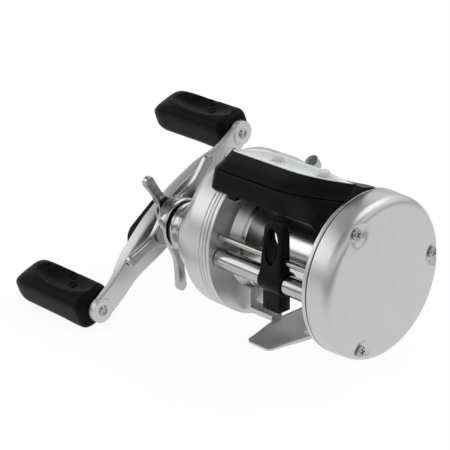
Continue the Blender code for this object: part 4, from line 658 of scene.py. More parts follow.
@dataclass
class SidePlates:
    """The palm plate, the gear plate and their screws."""

    palm_depth: float = 9.5
    palm_corner: float = 3.2
    palm_crown: float = 0.5
    palm_draft: float = 0.3
    palm_wall: float = 1.6
    palm_floor: float = 2.6
    palm_lip: tuple[Pair, ...] = ((0.5, 0.0), (0.25, 0.05), (0.0, 0.35))
    palm_fillet: float = 2.0
    palm_boss: float = 6.6
    palm_boss_set: float = 1.5
    palm_socket: float = 4.2
    palm_socket_depth: float = 3.0
    palm_angles: tuple[float, ...] = (125.2, 5.2, -114.8)
    gear_depth: float = 14.4
    gear_corner: float = 6.0
    gear_wall: float = 1.3
    gear_floor: float = 1.6
    gear_angles: tuple[float, ...] = (100.0, 0.0, -100.0)
    groove_depth: float = 0.35
    groove_starts: tuple[float, ...] = (0.9, 2.4)
    groove_width: float = 0.6
    groove_side: float = 0.12
    rim_lip: float = 0.3
    rim_plain: float = 3.3
    dome_rise: float = 3.5
    dome_top: float = 9.3
    dome_base: float = 13.2
    dome_fall: float = 13.0
    dome_drop: float = 2.2
    dome_blend: float = 1.4
    dome_hollow: float = 1.3
    dome_root: float = 0.8
    dome_slope: float = 0.85
    hub_radius: float = 5.0
    hub_drop: float = 0.4
    hub_foot: tuple[Pair, ...] = ((0.15, -0.15), (0.5, 0.0))
    hub_lip: tuple[Pair, ...] = ((0.4, 0.0), (0.1, 0.12), (0.0, 0.4))
    hub_bore: float = 3.7
    hub_outer: float = 5.7
    hub_tail: float = 1.5
    inner_corner: float = 4.7
    inner_slant: float = 1.4
    bore: float = 5.3
    cavity: float = 8.6
    dip_seat: float = 1.1
    dip_flat: float = 2.5
    dip_slope: float = 0.55
    dip_power: float = 1.6
    dip_blend: float = 0.7
    gear_dip: float = 0.8
    head_radius: float = 1.9
    head_height: float = 1.1
    recess: float = 1.15
    slot_half: float = 1.9
    slot_drop: Pair = (0.6, 6.8)
    slot_reach: Pair = (23.0, 33.0)
    lever_angle: float = 35.0
    lever_x: float = -25.8
    steps: int = 216

    def build(self) -> None:
        """Build both plates and the six screws."""
        self.palm_plate()
        self.gear_plate()
        self.screws()

    @property
    def palm_face(self) -> float:
        """Highest place of the palm plate's face."""
        return LAYOUT.palm_seat + self.palm_depth

    @property
    def gear_face(self) -> float:
        """Flat of the gear plate's face."""
        return LAYOUT.gear_seat - self.gear_depth

    def palm_profile(self) -> list[Pair]:
        """Section of the palm plate, with close steps over its face.

        Returns:
            Points of (x, radius) from the face's middle round to the inside.
        """
        edge = LAYOUT.plate_radius - self.palm_draft
        shoulder = self.palm_face - self.palm_crown
        flat = edge - self.palm_corner
        face = [(self.palm_face - self.palm_crown * (r / flat) ** 2, r) for r in spread(0.0, flat, 44)]
        corner = [(shoulder - self.palm_corner * (1 - math.cos(t)), flat + self.palm_corner * math.sin(t))
                  for t in spread(math.radians(4.0), math.radians(90.0), 14)]
        seat = LAYOUT.palm_seat
        inside = LAYOUT.plate_radius - self.palm_wall
        floor = shoulder - self.palm_floor
        boss_end = seat + self.palm_boss_set
        pit = boss_end + self.palm_socket_depth
        wall = [(seat + x, LAYOUT.plate_radius - r) for x, r in self.palm_lip]
        back = [(seat, inside), (floor - self.palm_fillet, inside), (floor, inside - self.palm_fillet),
                (floor, self.palm_boss), (boss_end, self.palm_boss), (boss_end, self.palm_socket),
                (pit, self.palm_socket), (pit, 0.0)]
        return face + corner + wall + back

    def palm_plate(self) -> Object:
        """Turn the palm plate and press a soft dip round each screw."""
        plate = turned("palm_plate_shell", self.palm_profile(), LAYOUT.spool_axis, self.steps)
        spots = [on_circle(LAYOUT.screw_circle, a, LAYOUT.spool_axis) for a in self.palm_angles]
        seat = self.palm_face - self.palm_crown - self.dip_seat
        front = self.palm_face - self.palm_corner - self.palm_crown

        def press(place: Vector) -> Vector:
            """Press the outer face in round the screws."""
            if place.x < front:
                return place
            for y, z in spots:
                away = math.hypot(place.y - y, place.z - z)
                slope = seat + self.dip_slope * max(away - self.dip_flat, 0.0) ** self.dip_power
                place.x = soft_min(place.x, slope, self.dip_blend)
            return place

        reshape(plate, press)
        return dress(plate, SATIN_SILVER, "reel", "palm_plate")

    def gear_profile(self) -> list[Pair]:
        """Section of the gear plate: grooved rim, round corner, face and cast control hub.

        Returns:
            Points of (x, radius) round the section and back to its start.
        """
        seat, edge = LAYOUT.gear_seat, LAYOUT.plate_radius
        inside = edge - self.gear_wall
        rim = [(seat, inside), (seat, edge - self.rim_lip), (seat - self.rim_lip, edge)]
        for start in self.groove_starts:
            a, b = seat - start, seat - start - self.groove_width
            side, flank = self.groove_side, edge - 0.8 * self.groove_depth
            rim += [(a, edge), (a - side, flank), ((a + b) / 2, edge - self.groove_depth), (b + side, flank),
                    (b, edge)]
        low = self.gear_face + self.gear_corner
        rim += [(x, edge) for x in spread(seat - self.rim_plain, low, 6)[:-1]]
        flat = edge - self.gear_corner
        corner = [(low - self.gear_corner * math.sin(t), flat + self.gear_corner * math.cos(t))
                  for t in spread(0.0, math.pi / 2, 22)]
        face = [(self.gear_face, r) for r in spread(flat, self.hub_radius + 0.5, 34)[1:]]
        top = self.gear_face - self.dome_rise + self.hub_drop
        hub = [(self.gear_face - x, self.hub_radius - r) for x, r in self.hub_foot]
        hub += [(top + x, self.hub_radius - r) for x, r in self.hub_lip] + [(top, self.hub_bore)]
        floor = self.gear_face + self.gear_floor
        end, wide, slant = floor + self.hub_tail, self.inner_corner, self.inner_slant
        back = [(end, self.hub_bore), (end, self.hub_outer), (floor, self.hub_outer), (floor, inside - wide),
                (floor + slant, inside - slant), (floor + wide, inside), (seat, inside)]
        return rim + corner + face + hub + back

    def dome_height(self, away: float) -> float:
        """Where the drive boss's flank is, at a distance from the handle axis."""
        end = self.gear_face - self.dome_rise
        if away <= self.dome_top:
            return end
        span = self.dome_base - self.dome_top
        share = 1.0 - ((away - self.dome_top) / span) ** (1 / self.dome_hollow) if away < self.dome_base else 0.0
        root = self.gear_face + self.dome_root
        over = max(away - self.dome_base, 0.0)
        fall = max(away - self.dome_fall, 0.0)
        return root + (end - root) * share + self.dome_slope * over + self.dome_drop * fall ** 2

    def gear_plate(self) -> Object:
        """Turn the gear plate, raise the drive boss from it and cut its openings."""
        plate = turned("gear_plate_shell", self.gear_profile(), LAYOUT.spool_axis, self.steps)
        hy, hz = LAYOUT.handle_axis
        front = self.gear_face + self.gear_corner + 0.2
        hub_top = self.gear_face - self.dome_rise + self.hub_drop
        spots = [on_circle(LAYOUT.screw_circle, a, LAYOUT.spool_axis) for a in self.gear_angles]
        seat = self.gear_face + self.gear_dip
        floor = self.gear_face + self.gear_floor
        inside = LAYOUT.plate_radius - self.gear_wall

        def raise_boss(place: Vector) -> Vector:
            """Raise the boss and press the screw dips in the outer skin."""
            radius = math.hypot(place.y, place.z - LAYOUT.spool_axis[1])
            inner = place.x > floor - 0.1 and radius < inside + 0.1 and radius > self.hub_radius + 0.6
            corner = max(radius - (LAYOUT.plate_radius - self.gear_corner), 0.0)
            depth = self.gear_corner - math.sqrt(max(self.gear_corner ** 2 - corner ** 2, 0.0))
            skin_x = self.gear_face + depth
            if place.x > front or (inner and place.x > skin_x + 0.4) or radius < self.hub_radius - 0.2:
                return place
            away = math.hypot(place.y - hy, place.z - hz)
            place.x = soft_min(place.x, self.dome_height(away), self.dome_blend)
            for y, z in spots:
                near = math.hypot(place.y - y, place.z - z)
                slope = seat - self.dip_slope * max(near - self.dip_flat, 0.0) ** self.dip_power
                place.x = soft_max(place.x, slope, self.dip_blend)
            return place

        reshape(plate, raise_boss)
        end = self.gear_face - self.dome_rise
        hollow = [(floor + 1.0, 0.0), (floor + 1.0, self.cavity), (end + 1.4, self.cavity), (end + 1.4, self.bore),
                  (end - 1.0, self.bore), (end - 1.0, 0.0)]
        work(plate, turned("boss_hollow", hollow, LAYOUT.handle_axis, 64), Joinery.CUT)
        work(plate, self.lever_slot(), Joinery.CUT)
        return dress(plate, SATIN_SILVER, "reel", "gear_plate")

    def lever_slot(self) -> Object:
        """The solid that cuts the thumb lever's slot in the rim."""
        turn = math.radians(self.lever_angle)
        c, s = math.cos(turn), math.sin(turn)
        y0, z0 = LAYOUT.spool_axis
        outline = []
        near, far = self.slot_reach
        high, low = self.slot_drop
        for reach, fall in ((near, high), (far, high), (far, low), (near, low)):
            outline.append((self.lever_x - self.slot_half, y0 + reach * c + fall * s, z0 + reach * s - fall * c))
        return slab("lever_slot", outline, (2 * self.slot_half, 0.0, 0.0))

    def screws(self) -> None:
        """Model one pan head with a cross recess, and copy it to the six places."""
        seat = self.palm_face - self.palm_crown - self.dip_seat
        top = seat + self.head_height
        profile = rounded([(seat - 0.5, 0.0), (seat - 0.5, 1.1), (seat + 0.02, 1.1),
                           (seat + 0.02, self.head_radius), (seat + 0.6 * self.head_height, self.head_radius), (top, 0.62 * self.head_radius),
                           (top, 0.0)], 0.3)
        head = turned("palm_screw_head", profile, LAYOUT.spool_axis, 48)
        y, z = LAYOUT.spool_axis
        for name, wide, tall in (("recess_a", 0.26, self.recess), ("recess_b", self.recess, 0.26)):
            work(head, box(name, (top - 0.6, y - wide, z - tall), (top + 1.0, y + wide, z + tall)), Joinery.CUT)
        soften(head, 0.05, 2)
        for k, angle in enumerate(self.palm_angles):
            spot = on_circle(LAYOUT.screw_circle, angle, LAYOUT.spool_axis)
            place = shift(0.0, spot[0] - y, spot[1] - z) @ turn_x(20.0 + 35.0 * k, LAYOUT.spool_axis)
            dress(copy_of(head, f"palm_screw_head_{k + 1}", place), PLAIN_STEEL, "reel", f"palm_screw_{k + 1}")
        back = self.gear_face + self.gear_dip + seat
        for k, angle in enumerate(self.gear_angles):
            spot = on_circle(LAYOUT.screw_circle, angle, LAYOUT.spool_axis)
            face_out = Matrix.Rotation(math.pi, 4, "Z") @ turn_x(25.0 * k, LAYOUT.spool_axis)
            place = shift(back, spot[0], spot[1] - z) @ face_out
            dress(copy_of(head, f"gear_screw_head_{k + 1}", place), PLAIN_STEEL, "reel", f"gear_screw_{k + 1}")
        bpy.data.objects.remove(head, do_unlink=True)


@dataclass
class FrameAndFoot:
    """The frame's rings, bars and lug, the rear pillars and the foot."""

    boss_radius: float = 18.9
    boss_bore: float = 15.5
    boss_end: float = -17.2
    boss_cone: tuple[Pair, ...] = ((1.0, 1.5), (0.0, 2.2))
    shaft_opening: float = 6.0
    palm_opening: float = 18.5
    bar_front: float = 11.7
    bar_width: float = 5.0
    bar_low: float = 2.0
    bar_high: float = 4.0
    bar_opening: float = 14.4
    lug_height: float = 7.0
    lug_bore: float = 16.0
    pillar_radius: float = 2.6
    pillar_circle: float = 23.6
    pillar_angles: tuple[float, float] = (27.0, -28.0)
    foot_length: float = 51.6
    foot_width: float = 17.4
    foot_tip_width: float = 11.0
    foot_tip_radius: float = 1.8
    foot_taper: float = 5.85
    foot_thick: float = 1.7
    foot_tip_thick: float = 1.1
    foot_dish: float = 0.85
    foot_tip_dish: float = 0.5
    foot_rim: float = 0.9

    def build(self) -> None:
        """Build the frame, its pillars and the foot."""
        self.rings()
        self.pillars()
        self.foot()

    def rings(self) -> Object:
        """Turn both rings and join the bars and the lug to them."""
        bay, outer = LAYOUT.bay, LAYOUT.bay + LAYOUT.ring
        radius = LAYOUT.plate_radius
        gear = [(-outer, self.shaft_opening), (-outer, radius), (-bay, radius), (-bay, self.boss_radius),
                *[(self.boss_end - x, self.boss_radius - r) for x, r in self.boss_cone],
                (self.boss_end, self.boss_bore), (-bay, self.boss_bore), (-bay, self.shaft_opening)]
        piece = ring("frame_body", gear, 0.3, 3, LAYOUT.spool_axis, 160)
        palm = [(bay, self.palm_opening), (bay, radius), (outer, radius), (outer, self.palm_opening)]
        work(piece, ring("palm_ring", palm, 0.25, 3, LAYOUT.spool_axis, 160), Joinery.JOIN)
        back = self.bar_front - self.bar_width
        half = self.bar_opening / 2
        bars = {"rear_bar": (-bay - 0.5, bay + 0.5, back, self.bar_front),
                "gear_stub": (-bay - 0.5, -half, -self.bar_front, -back),
                "palm_stub": (half, bay + 0.5, -self.bar_front, -back)}
        for name, (x_a, x_b, y_a, y_b) in bars.items():
            work(piece, soften(box(name, (x_a, y_a, self.bar_low), (x_b, y_b, self.bar_high)), 0.3), Joinery.JOIN)
        lug = box("lug", (-bay - 0.5, -self.bar_front, self.bar_high - 0.8),
                  (self.boss_end - 0.3, self.bar_front, self.bar_high + self.lug_height))
        soften(lug, 0.45)
        work(lug, turned("lug_bore", peg(-bay - 2.0, 0.0, self.lug_bore), LAYOUT.spool_axis, 96), Joinery.CUT)
        work(piece, lug, Joinery.JOIN)
        for name, axis, size, deep in (("worm_hole", LAYOUT.tube_axis, 1.9, -bay + 1.0),
                                       ("shaft_hole", LAYOUT.handle_axis, 3.3, -bay - 0.6)):
            work(piece, turned(name, peg(-outer - 1.0, deep, size), axis, 40), Joinery.CUT)
        return dress(piece, SATIN_SILVER, "reel", "frame")

    def pillars(self) -> None:
        """Turn one rear pillar with necked ends, and copy it."""
        end = LAYOUT.bay - LAYOUT.gap
        neck = self.pillar_radius - 0.5
        half = [(end, 0.0), (end, self.pillar_radius), (end - 1.6, self.pillar_radius), (end - 1.9, neck),
                (end - 2.6, neck), (end - 2.9, self.pillar_radius)]
        profile = rounded(half + [(-x, r) for x, r in reversed(half)], 0.2, 3)
        pillar = turned("pillar", profile, LAYOUT.spool_axis, 56)
        for name, angle in zip(("upper", "lower"), self.pillar_angles):
            y, z = on_circle(self.pillar_circle, angle, (0.0, 0.0))
            copy = copy_of(pillar, "pillar_" + name, shift(0.0, y, z))
            dress(copy, POLISHED_CHROME, "reel", "rear_pillar_" + name)
        bpy.data.objects.remove(pillar, do_unlink=True)

    def foot_half(self, y: float) -> float:
        """Half the foot's width at a place along it."""
        half_length = self.foot_length / 2
        share = smoothstep(self.foot_taper, half_length, abs(y))
        half = (self.foot_width + (self.foot_tip_width - self.foot_width) * share) / 2
        past = abs(y) - (half_length - self.foot_tip_radius)
        if past > 0:
            half -= self.foot_tip_radius - math.sqrt(max(self.foot_tip_radius ** 2 - past ** 2, 0.0))
        return half

    def foot_section(self, y: float) -> list[Place]:
        """Section of the foot: flat underside, rounded rims and a trough between them.

        Args:
            y: the place along the foot.

        Returns:
            The closed section.
        """
        half_length = self.foot_length / 2
        share = smoothstep(self.bar_front, half_length, abs(y))
        top = self.foot_thick + (self.foot_tip_thick - self.foot_thick) * share
        end = smoothstep(half_length - 1.6, half_length, abs(y))
        dish = (self.foot_dish + (self.foot_tip_dish - self.foot_dish) * share) * (1 - end)
        top -= 0.35 * end ** 3
        w = self.foot_half(y)
        inner = w - self.foot_rim
        trough = [(inner * u, top - dish * (1 - u * u)) for u in spread(1.0, -1.0, 17)]
        side = rounded([(0.0, 0.0), (w, 0.0), (w, top), (inner, top), (0.0, top - dish)], 0.45, 5)
        right = side[1:-1]
        left = [(-x, z) for x, z in reversed(right)]
        return [(x, y, z) for x, z in right + trough[1:-1] + left]

    def foot(self) -> Object:
        """Skin the foot over its sections."""
        half = self.foot_length / 2
        body = spread(0.0, half - self.foot_tip_radius, 40)
        tip = [half - self.foot_tip_radius * (1 - math.sin(math.radians(a))) for a in range(9, 91, 9)]
        along = body + tip
        stations = [-y for y in reversed(along)] + along[1:]
        piece = skin("foot_tongue", [self.foot_section(y) for y in stations])
        return dress(piece, SATIN_SILVER, "reel", "foot", angle=50.0)


@dataclass
class DriveLine:
    """The chrome collar, its seal and the star drag."""

    collar_start: float = -40.9
    collar_end: float = -45.4
    collar_radius: float = 8.9
    spigot: float = 6.2
    spigot_end: float = -46.8
    inner_end: float = -34.6
    inner_radius: float = 5.0
    shaft_bore: float = 3.3
    seal_outer: float = 8.6
    seal_inner: float = 6.5
    seal_start: float = -45.7
    seal_end: float = -46.5
    star_start: float = -47.1
    star_end: float = -52.6
    star_hub: float = 9.3
    star_bore: float = 4.3
    star_reach: float = 25.6
    star_angle: float = 127.0
    star_prongs: int = 5
    prong_root: float = 5.2
    prong_waist: float = 1.85
    prong_tip: float = 2.1
    prong_thick: float = 2.2
    prong_setback: float = 2.7
    prong_sweep: float = 1.5
    tip_steps: tuple[int, ...] = (10, 20, 30, 40, 50, 60, 68, 76, 83, 88)

    def build(self) -> None:
        """Build the collar, the seal and the star."""
        self.collar()
        self.seal()
        self.star()

    def collar(self) -> Object:
        """Turn the collar with a shallow waist and rounded lips."""
        a, b, r = self.collar_start, self.collar_end, self.collar_radius
        outer = [(a, self.inner_radius), (a, r - 0.1), (a - 0.9, r), (a - 1.3, r - 0.35), (b + 1.3, r - 0.35),
                 (b + 0.9, r), (b, r - 0.1), (b, self.spigot), (self.spigot_end, self.spigot),
                 (self.spigot_end, self.shaft_bore), (self.inner_end, self.shaft_bore),
                 (self.inner_end, self.inner_radius)]
        piece = ring("drive_collar_ring", outer, 0.3, 4, LAYOUT.handle_axis, 128)
        return dress(piece, POLISHED_CHROME, "reel", "drive_collar")

    def seal(self) -> Object:
        """Turn the seal with full round lips."""
        a, b = self.seal_start, self.seal_end
        corners = [(a, self.seal_inner), (a, self.seal_outer), (b, self.seal_outer), (b, self.seal_inner)]
        piece = ring("collar_seal_ring", corners, 0.35, 5, LAYOUT.handle_axis, 112)
        return dress(piece, BLACK_RUBBER, "reel", "collar_seal")

    def prong_half(self, radius: float) -> float:
        """Half a prong's width at a distance from the star's axis."""
        tip = self.star_reach - self.prong_tip
        share = (radius - self.star_hub) / (tip - self.star_hub)
        root = (self.prong_root - self.prong_waist) * max(1 - (share + 0.12) / 0.62, 0.0) ** 2.2
        swell = (self.prong_tip - self.prong_waist) * smoothstep(0.62, 1.0, share)
        half = self.prong_waist + root + swell
        past = radius - tip
        if past > 0:
            half = math.sqrt(max(self.prong_tip ** 2 - past ** 2, 0.0))
        return half

    def prong(self) -> Object:
        """Skin one prong, standing straight up from the star's axis."""
        y, z = LAYOUT.handle_axis
        tip = self.star_reach - self.prong_tip
        stations = spread(self.star_hub - 2.4, tip, 34)
        stations += [tip + self.prong_tip * math.sin(math.radians(a)) for a in self.tip_steps]
        sections = []
        for radius in stations:
            half = max(self.prong_half(radius), 0.05)
            sweep = self.prong_sweep * max(radius - self.star_hub, 0.0) / (self.star_reach - self.star_hub)
            front = self.star_start - self.prong_setback + sweep
            thin = min(1.0, half / (0.45 * self.prong_thick))
            middle = front - self.prong_thick / 2
            deep = self.prong_thick / 2 * (0.55 + 0.45 * math.sqrt(thin))
            corners = [(middle + deep, -half), (middle + deep, half), (middle - deep, half),
                       (middle - deep, -half)]
            outline = rounded(corners, min(0.6, 0.9 * half), 5, closed=True)
            sections.append([(x, y + w, z + radius) for x, w in outline])
        return skin("prong", sections)

    def star(self) -> Object:
        """Join five copies of a prong to the turned hub and bore it."""
        a, b, r = self.star_start, self.star_end, self.star_hub
        profile = rounded([(a, 0.0), (a, r - 0.7), (a - 0.7, r), (b + 2.2, r), (b + 1.9, r - 0.45),
                           (b + 1.6, r - 0.45), (b + 1.3, r - 0.1), (b, r - 1.5), (b, 0.0)], 0.35, 4)
        piece = turned("star_wheel", profile, LAYOUT.handle_axis, 120)
        prong = self.prong()
        for k in range(self.star_prongs):
            angle = self.star_angle - 90.0 + 360.0 * k / self.star_prongs
            work(piece, copy_of(prong, f"prong_{k}", turn_x(angle, LAYOUT.handle_axis)), Joinery.JOIN)
        bpy.data.objects.remove(prong, do_unlink=True)
        bore = peg(a + 1.0, b - 1.0, self.star_bore)
        work(piece, turned("star_bore", bore, LAYOUT.handle_axis, 48), Joinery.CUT)
        return dress(piece, POLISHED_CHROME, "star", "star_drag", angle=40.0)


@dataclass
class Handle:
    """The swept arm, its nut and lock plate, the spindles and the two knobs."""

    angle: float = math.radians(35.1)
    reach: float = 40.8
    hub_width: float = 14.6
    neck_width: float = 8.6
    eye_radius: float = 4.4
    inner: float = -53.6
    hub_thick: float = 4.4
    end_thick: float = 2.4
    sweep: float = 1.4
    sweep_start: float = 20.0
    sweep_end: float = 34.0
    taper_start: float = 4.0
    taper_end: float = 29.4
    eye_lift: float = 0.25
    eye_steps: tuple[float, ...] = (8, 16, 24, 32, 40, 48, 56, 64, 72, 79, 85, 88.5)
    lock_start: float = -58.3
    lock_thick: float = 3.4
    lock_length: float = 22.0
    lock_width: float = 11.4
    lock_shift: float = -4.6
    lock_opening: float = 4.7
    nut_radius: float = 4.4
    nut_end: float = -63.1
    spindle_head: float = 1.9
    knob_start: float = -55.0
    knob_length: float = 37.7
    knob_width: float = 14.2
    knob_thick: float = 11.6
    knob_tilt: float = math.radians(20.0)
    knob_square: float = 0.47
    knob_top: float = 1.1
    knob_end_round: float = 6.5
    knob_end_taper: float = 0.40
    knob_neck_round: float = 3.0
    scoop_depth: float = 1.9
    scoop_middle: Pair = (0.47, 1.6)
    scoop_reach: Pair = (0.40, 4.9)
    belly: float = 0.5
    dots: tuple[Pair, ...] = ((0.715, 3.0), (0.405, 4.7), (0.318, 1.2))
    dot_height: float = 0.95
    dot_radius: float = 1.0
    dimple_depth: float = 0.75
    dimple_radius: float = 1.7
    fall_start: float = 0.68
    fall: float = 0.58
    sides: int = 200
    stations: int = 150

    def build(self) -> None:
        """Build the arm, its fittings and both knobs."""
        self.arm()
        self.fittings()
        self.spindles()
        self.knobs()

    def along(self, reach: float, side: float, x: float) -> Place:
        """World place of a point along the arm and across it."""
        c, s = math.cos(self.angle), math.sin(self.angle)
        y, z = LAYOUT.handle_axis
        return (x, y + reach * c - side * s, z + reach * s + side * c)

    def half_width(self, reach: float) -> float:
        """Half the arm's width: broad hub, slim necks and round eyes."""
        away = abs(reach)
        neck = smoothstep(self.taper_start, self.taper_end, away)
        half = (self.hub_width + (self.neck_width - self.hub_width) * neck) / 2
        from_eye = away - self.reach
        if abs(from_eye) < self.eye_radius:
            eye = math.sqrt(self.eye_radius ** 2 - from_eye ** 2)
            half = eye if from_eye > 0 else max(half, eye)
        return half

    def arm(self) -> Object:
        """Skin the arm over its sections, and join a raised round boss at each eye."""
        body = spread(0.0, self.reach, 66)
        tip = [self.reach + self.eye_radius * math.sin(math.radians(a)) for a in self.eye_steps]
        half = body + tip
        sections = []
        for reach in [-v for v in reversed(half)] + half[1:]:
            ease = smoothstep(self.sweep_start, self.sweep_end, abs(reach))
            front = self.inner + self.sweep * ease
            back = front - self.hub_thick + (self.hub_thick - self.end_thick) * ease
            w = self.half_width(reach)
            outline = rounded([(-w, front), (w, front), (w, back), (-w, back)], min(0.55, 0.6 * w), 4, closed=True)
            sections.append([self.along(reach, side, x) for side, x in outline])
        piece = skin("handle_arm_bar", sections)
        front = self.inner + self.sweep
        back = front - self.end_thick - self.eye_lift / 2
        profile = rounded(peg(front + self.eye_lift, back, self.eye_radius), 0.4, 4)
        for name, side in (("front_eye", -1), ("rear_eye", 1)):
            work(piece, turned(name, profile, self.along(side * self.reach, 0.0, 0.0)[1:], 72), Joinery.JOIN)
        return dress(piece, SATIN_SILVER, "handle", "handle_arm", angle=40.0)

    def fittings(self) -> None:
        """Extrude the lock plate and turn the domed nut with its flats."""
        straight = (self.lock_length - self.lock_width) / 2
        radius = self.lock_width / 2
        outline = []
        for side in (1, -1):
            for degrees in range(0, 181, 9):
                turn = math.radians(degrees - 90 * side)
                outline.append(self.along(self.lock_shift + side * straight + radius * math.cos(turn),
                                          radius * math.sin(turn), self.lock_start))
        plate = slab("lock_plate", outline, (-self.lock_thick, 0.0, 0.0))
        soften(plate, 0.7, 4)
        end = self.lock_start - self.lock_thick
        hole = peg(self.lock_start + 1.0, end - 1.0, self.lock_opening)
        work(plate, turned("nut_opening", hole, LAYOUT.handle_axis, 64), Joinery.CUT)
        dress(plate, BLACK_PLASTIC, "handle", "nut_lock_plate")
        profile = rounded([(self.lock_start, 0.0), (self.lock_start, self.nut_radius),
                           (self.nut_end + 1.2, self.nut_radius), (self.nut_end, 0.62 * self.nut_radius),
                           (self.nut_end, 0.0)], 0.7, 5)
        nut = turned("domed_nut", profile, LAYOUT.handle_axis, 72)
        reach = 2 * self.nut_radius
        y, z = LAYOUT.handle_axis
        for k in range(6):
            flat = box("flat", (end - 2.0, y + 0.9 * self.nut_radius, z - reach),
                       (self.lock_start - 0.9, y + reach, z + reach))
            flat.data.transform(turn_x(60.0 * k, LAYOUT.handle_axis))
            work(nut, flat, Joinery.CUT)
        soften(nut, 0.12, 2)
        dress(nut, PLAIN_STEEL, "handle", "handle_nut")

    def spindles(self) -> None:
        """Turn one spindle with a socket head, and copy it to the other eye."""
        head = self.inner + self.sweep + self.eye_lift + 0.05
        top = head + 0.55
        end = self.knob_start - self.knob_length + 4.3
        y, z = self.along(-self.reach, 0.0, 0.0)[1:]
        profile = rounded([(top - 0.45, 0.0), (top - 0.45, 0.85), (top, 0.95), (top, 0.85 * self.spindle_head),
                           (head, self.spindle_head), (head - 0.02, 1.4), (end, 1.4), (end, 0.0)], 0.15, 3)
        spindle = turned("knob_spindle_front_pin", profile, (y, z), 48)
        rear = self.along(self.reach, 0.0, 0.0)
        copy = copy_of(spindle, "knob_spindle_rear_pin", shift(0.0, rear[1] - y, rear[2] - z))
        dress(spindle, PLAIN_STEEL, "handle", "knob_spindle_front")
        dress(copy, PLAIN_STEEL, "handle", "knob_spindle_rear")

    def knob_swell(self, gap_near: float, gap_far: float) -> float:
        """Size of the knob's section, eased at its neck and its free end."""
        swell = 1.0
        for gap, rounding in ((gap_near, self.knob_neck_round), (gap_far, self.knob_end_round)):
            if gap < rounding:
                swell *= 1 - self.knob_end_taper * (1 - math.sqrt(max(1 - (1 - gap / rounding) ** 2, 0.0)))
        return swell

    def knob_relief(self, share: float, v: float) -> float:
        """How far the knob's upper side stands above or below its plain form.

        Args:
            share: place along the knob, 0 at the arm.
            v: place across it, in millimetres.

        Returns:
            The height in millimetres, negative in the scoop.
        """
        middle, reach = self.scoop_middle, self.scoop_reach
        spot = ((share - middle[0]) / reach[0]) ** 2 + ((v - middle[1]) / reach[1]) ** 2
        height = -self.scoop_depth * max(1 - spot, 0.0) ** (0.75 + 0.9 * smoothstep(0.4, 0.8, share))
        for along, across in self.dots:
            away = math.hypot((share - along) * self.knob_length, v - across)
            height -= self.dimple_depth * math.exp(-((away / self.dimple_radius) ** 6))
            height += self.dot_height * math.exp(-((away / self.dot_radius) ** 4))
        return height

    def knob_section(self, x: float, axis: Pair) -> list[Place]:
        """Section of a knob at a place along it.

        Args:
            x: the place.
            axis: (y, z) of the knob's spindle.

        Returns:
            The closed section.
        """
        near = self.knob_start - x
        share = near / self.knob_length
        swell = self.knob_swell(near, self.knob_length - near)
        half_w, half_t = swell * self.knob_width / 2, swell * self.knob_thick / 2
        c, s = math.cos(self.knob_tilt), math.sin(self.knob_tilt)
        past = min(max(share - self.fall_start, 0.0) / (1 - self.fall_start), 1.0)
        top = self.knob_top * (1 - self.fall * (1 - math.sqrt(1 - past ** 2)))
        plain = []
        for k in range(720):
            a, b = math.cos(math.pi * k / 360), math.sin(math.pi * k / 360)
            high = half_t * (top if b > 0 else 1.0)
            plain.append((half_w * math.copysign(abs(a) ** self.knob_square, a),
                          high * math.copysign(abs(b) ** self.knob_square, b)))
        section = []
        for v, w in even(plain, self.sides):
            level = w / half_t
            if level > 0:
                w += self.knob_relief(share, v) * smoothstep(0.2, 0.75, level / top)
            else:
                w += self.belly * math.exp(-((share - 0.16) / 0.12) ** 2) * level
            section.append((x, axis[0] + v * c - w * s, axis[1] + v * s + w * c))
        return section

    def knobs(self) -> None:
        """Skin one knob with its scoop and raised dots, and copy it to the other spindle."""
        front = self.along(-self.reach, 0.0, 0.0)[1:]
        rear = self.along(self.reach, 0.0, 0.0)[1:]
        end = self.knob_start - self.knob_length
        neck = [self.knob_start - self.knob_neck_round * v for v in (0.0, 0.04, 0.15, 0.35, 0.65)]
        body = spread(self.knob_start - self.knob_neck_round, end + self.knob_end_round, self.stations)
        tail = [end + self.knob_end_round * (1 - math.sin(math.radians(a))) for a in range(5, 91, 5)]
        sections = [self.knob_section(x, front) for x in neck + body + tail]
        middle = Vector((end, *front))
        for share in (0.94, 0.8, 0.6, 0.35, 0.12):
            sections.append([tuple(middle + (Vector(p) - middle) * share) for p in self.knob_section(end, front)])
        knob = skin("front_knob_grip", sections)
        copy = copy_of(knob, "rear_knob_grip", shift(0.0, rear[0] - front[0], rear[1] - front[1]))
        dress(knob, BLACK_RUBBER, "front_knob", "knob_front", angle=60.0)
        dress(copy, BLACK_RUBBER, "rear_knob", "knob_rear", angle=60.0)


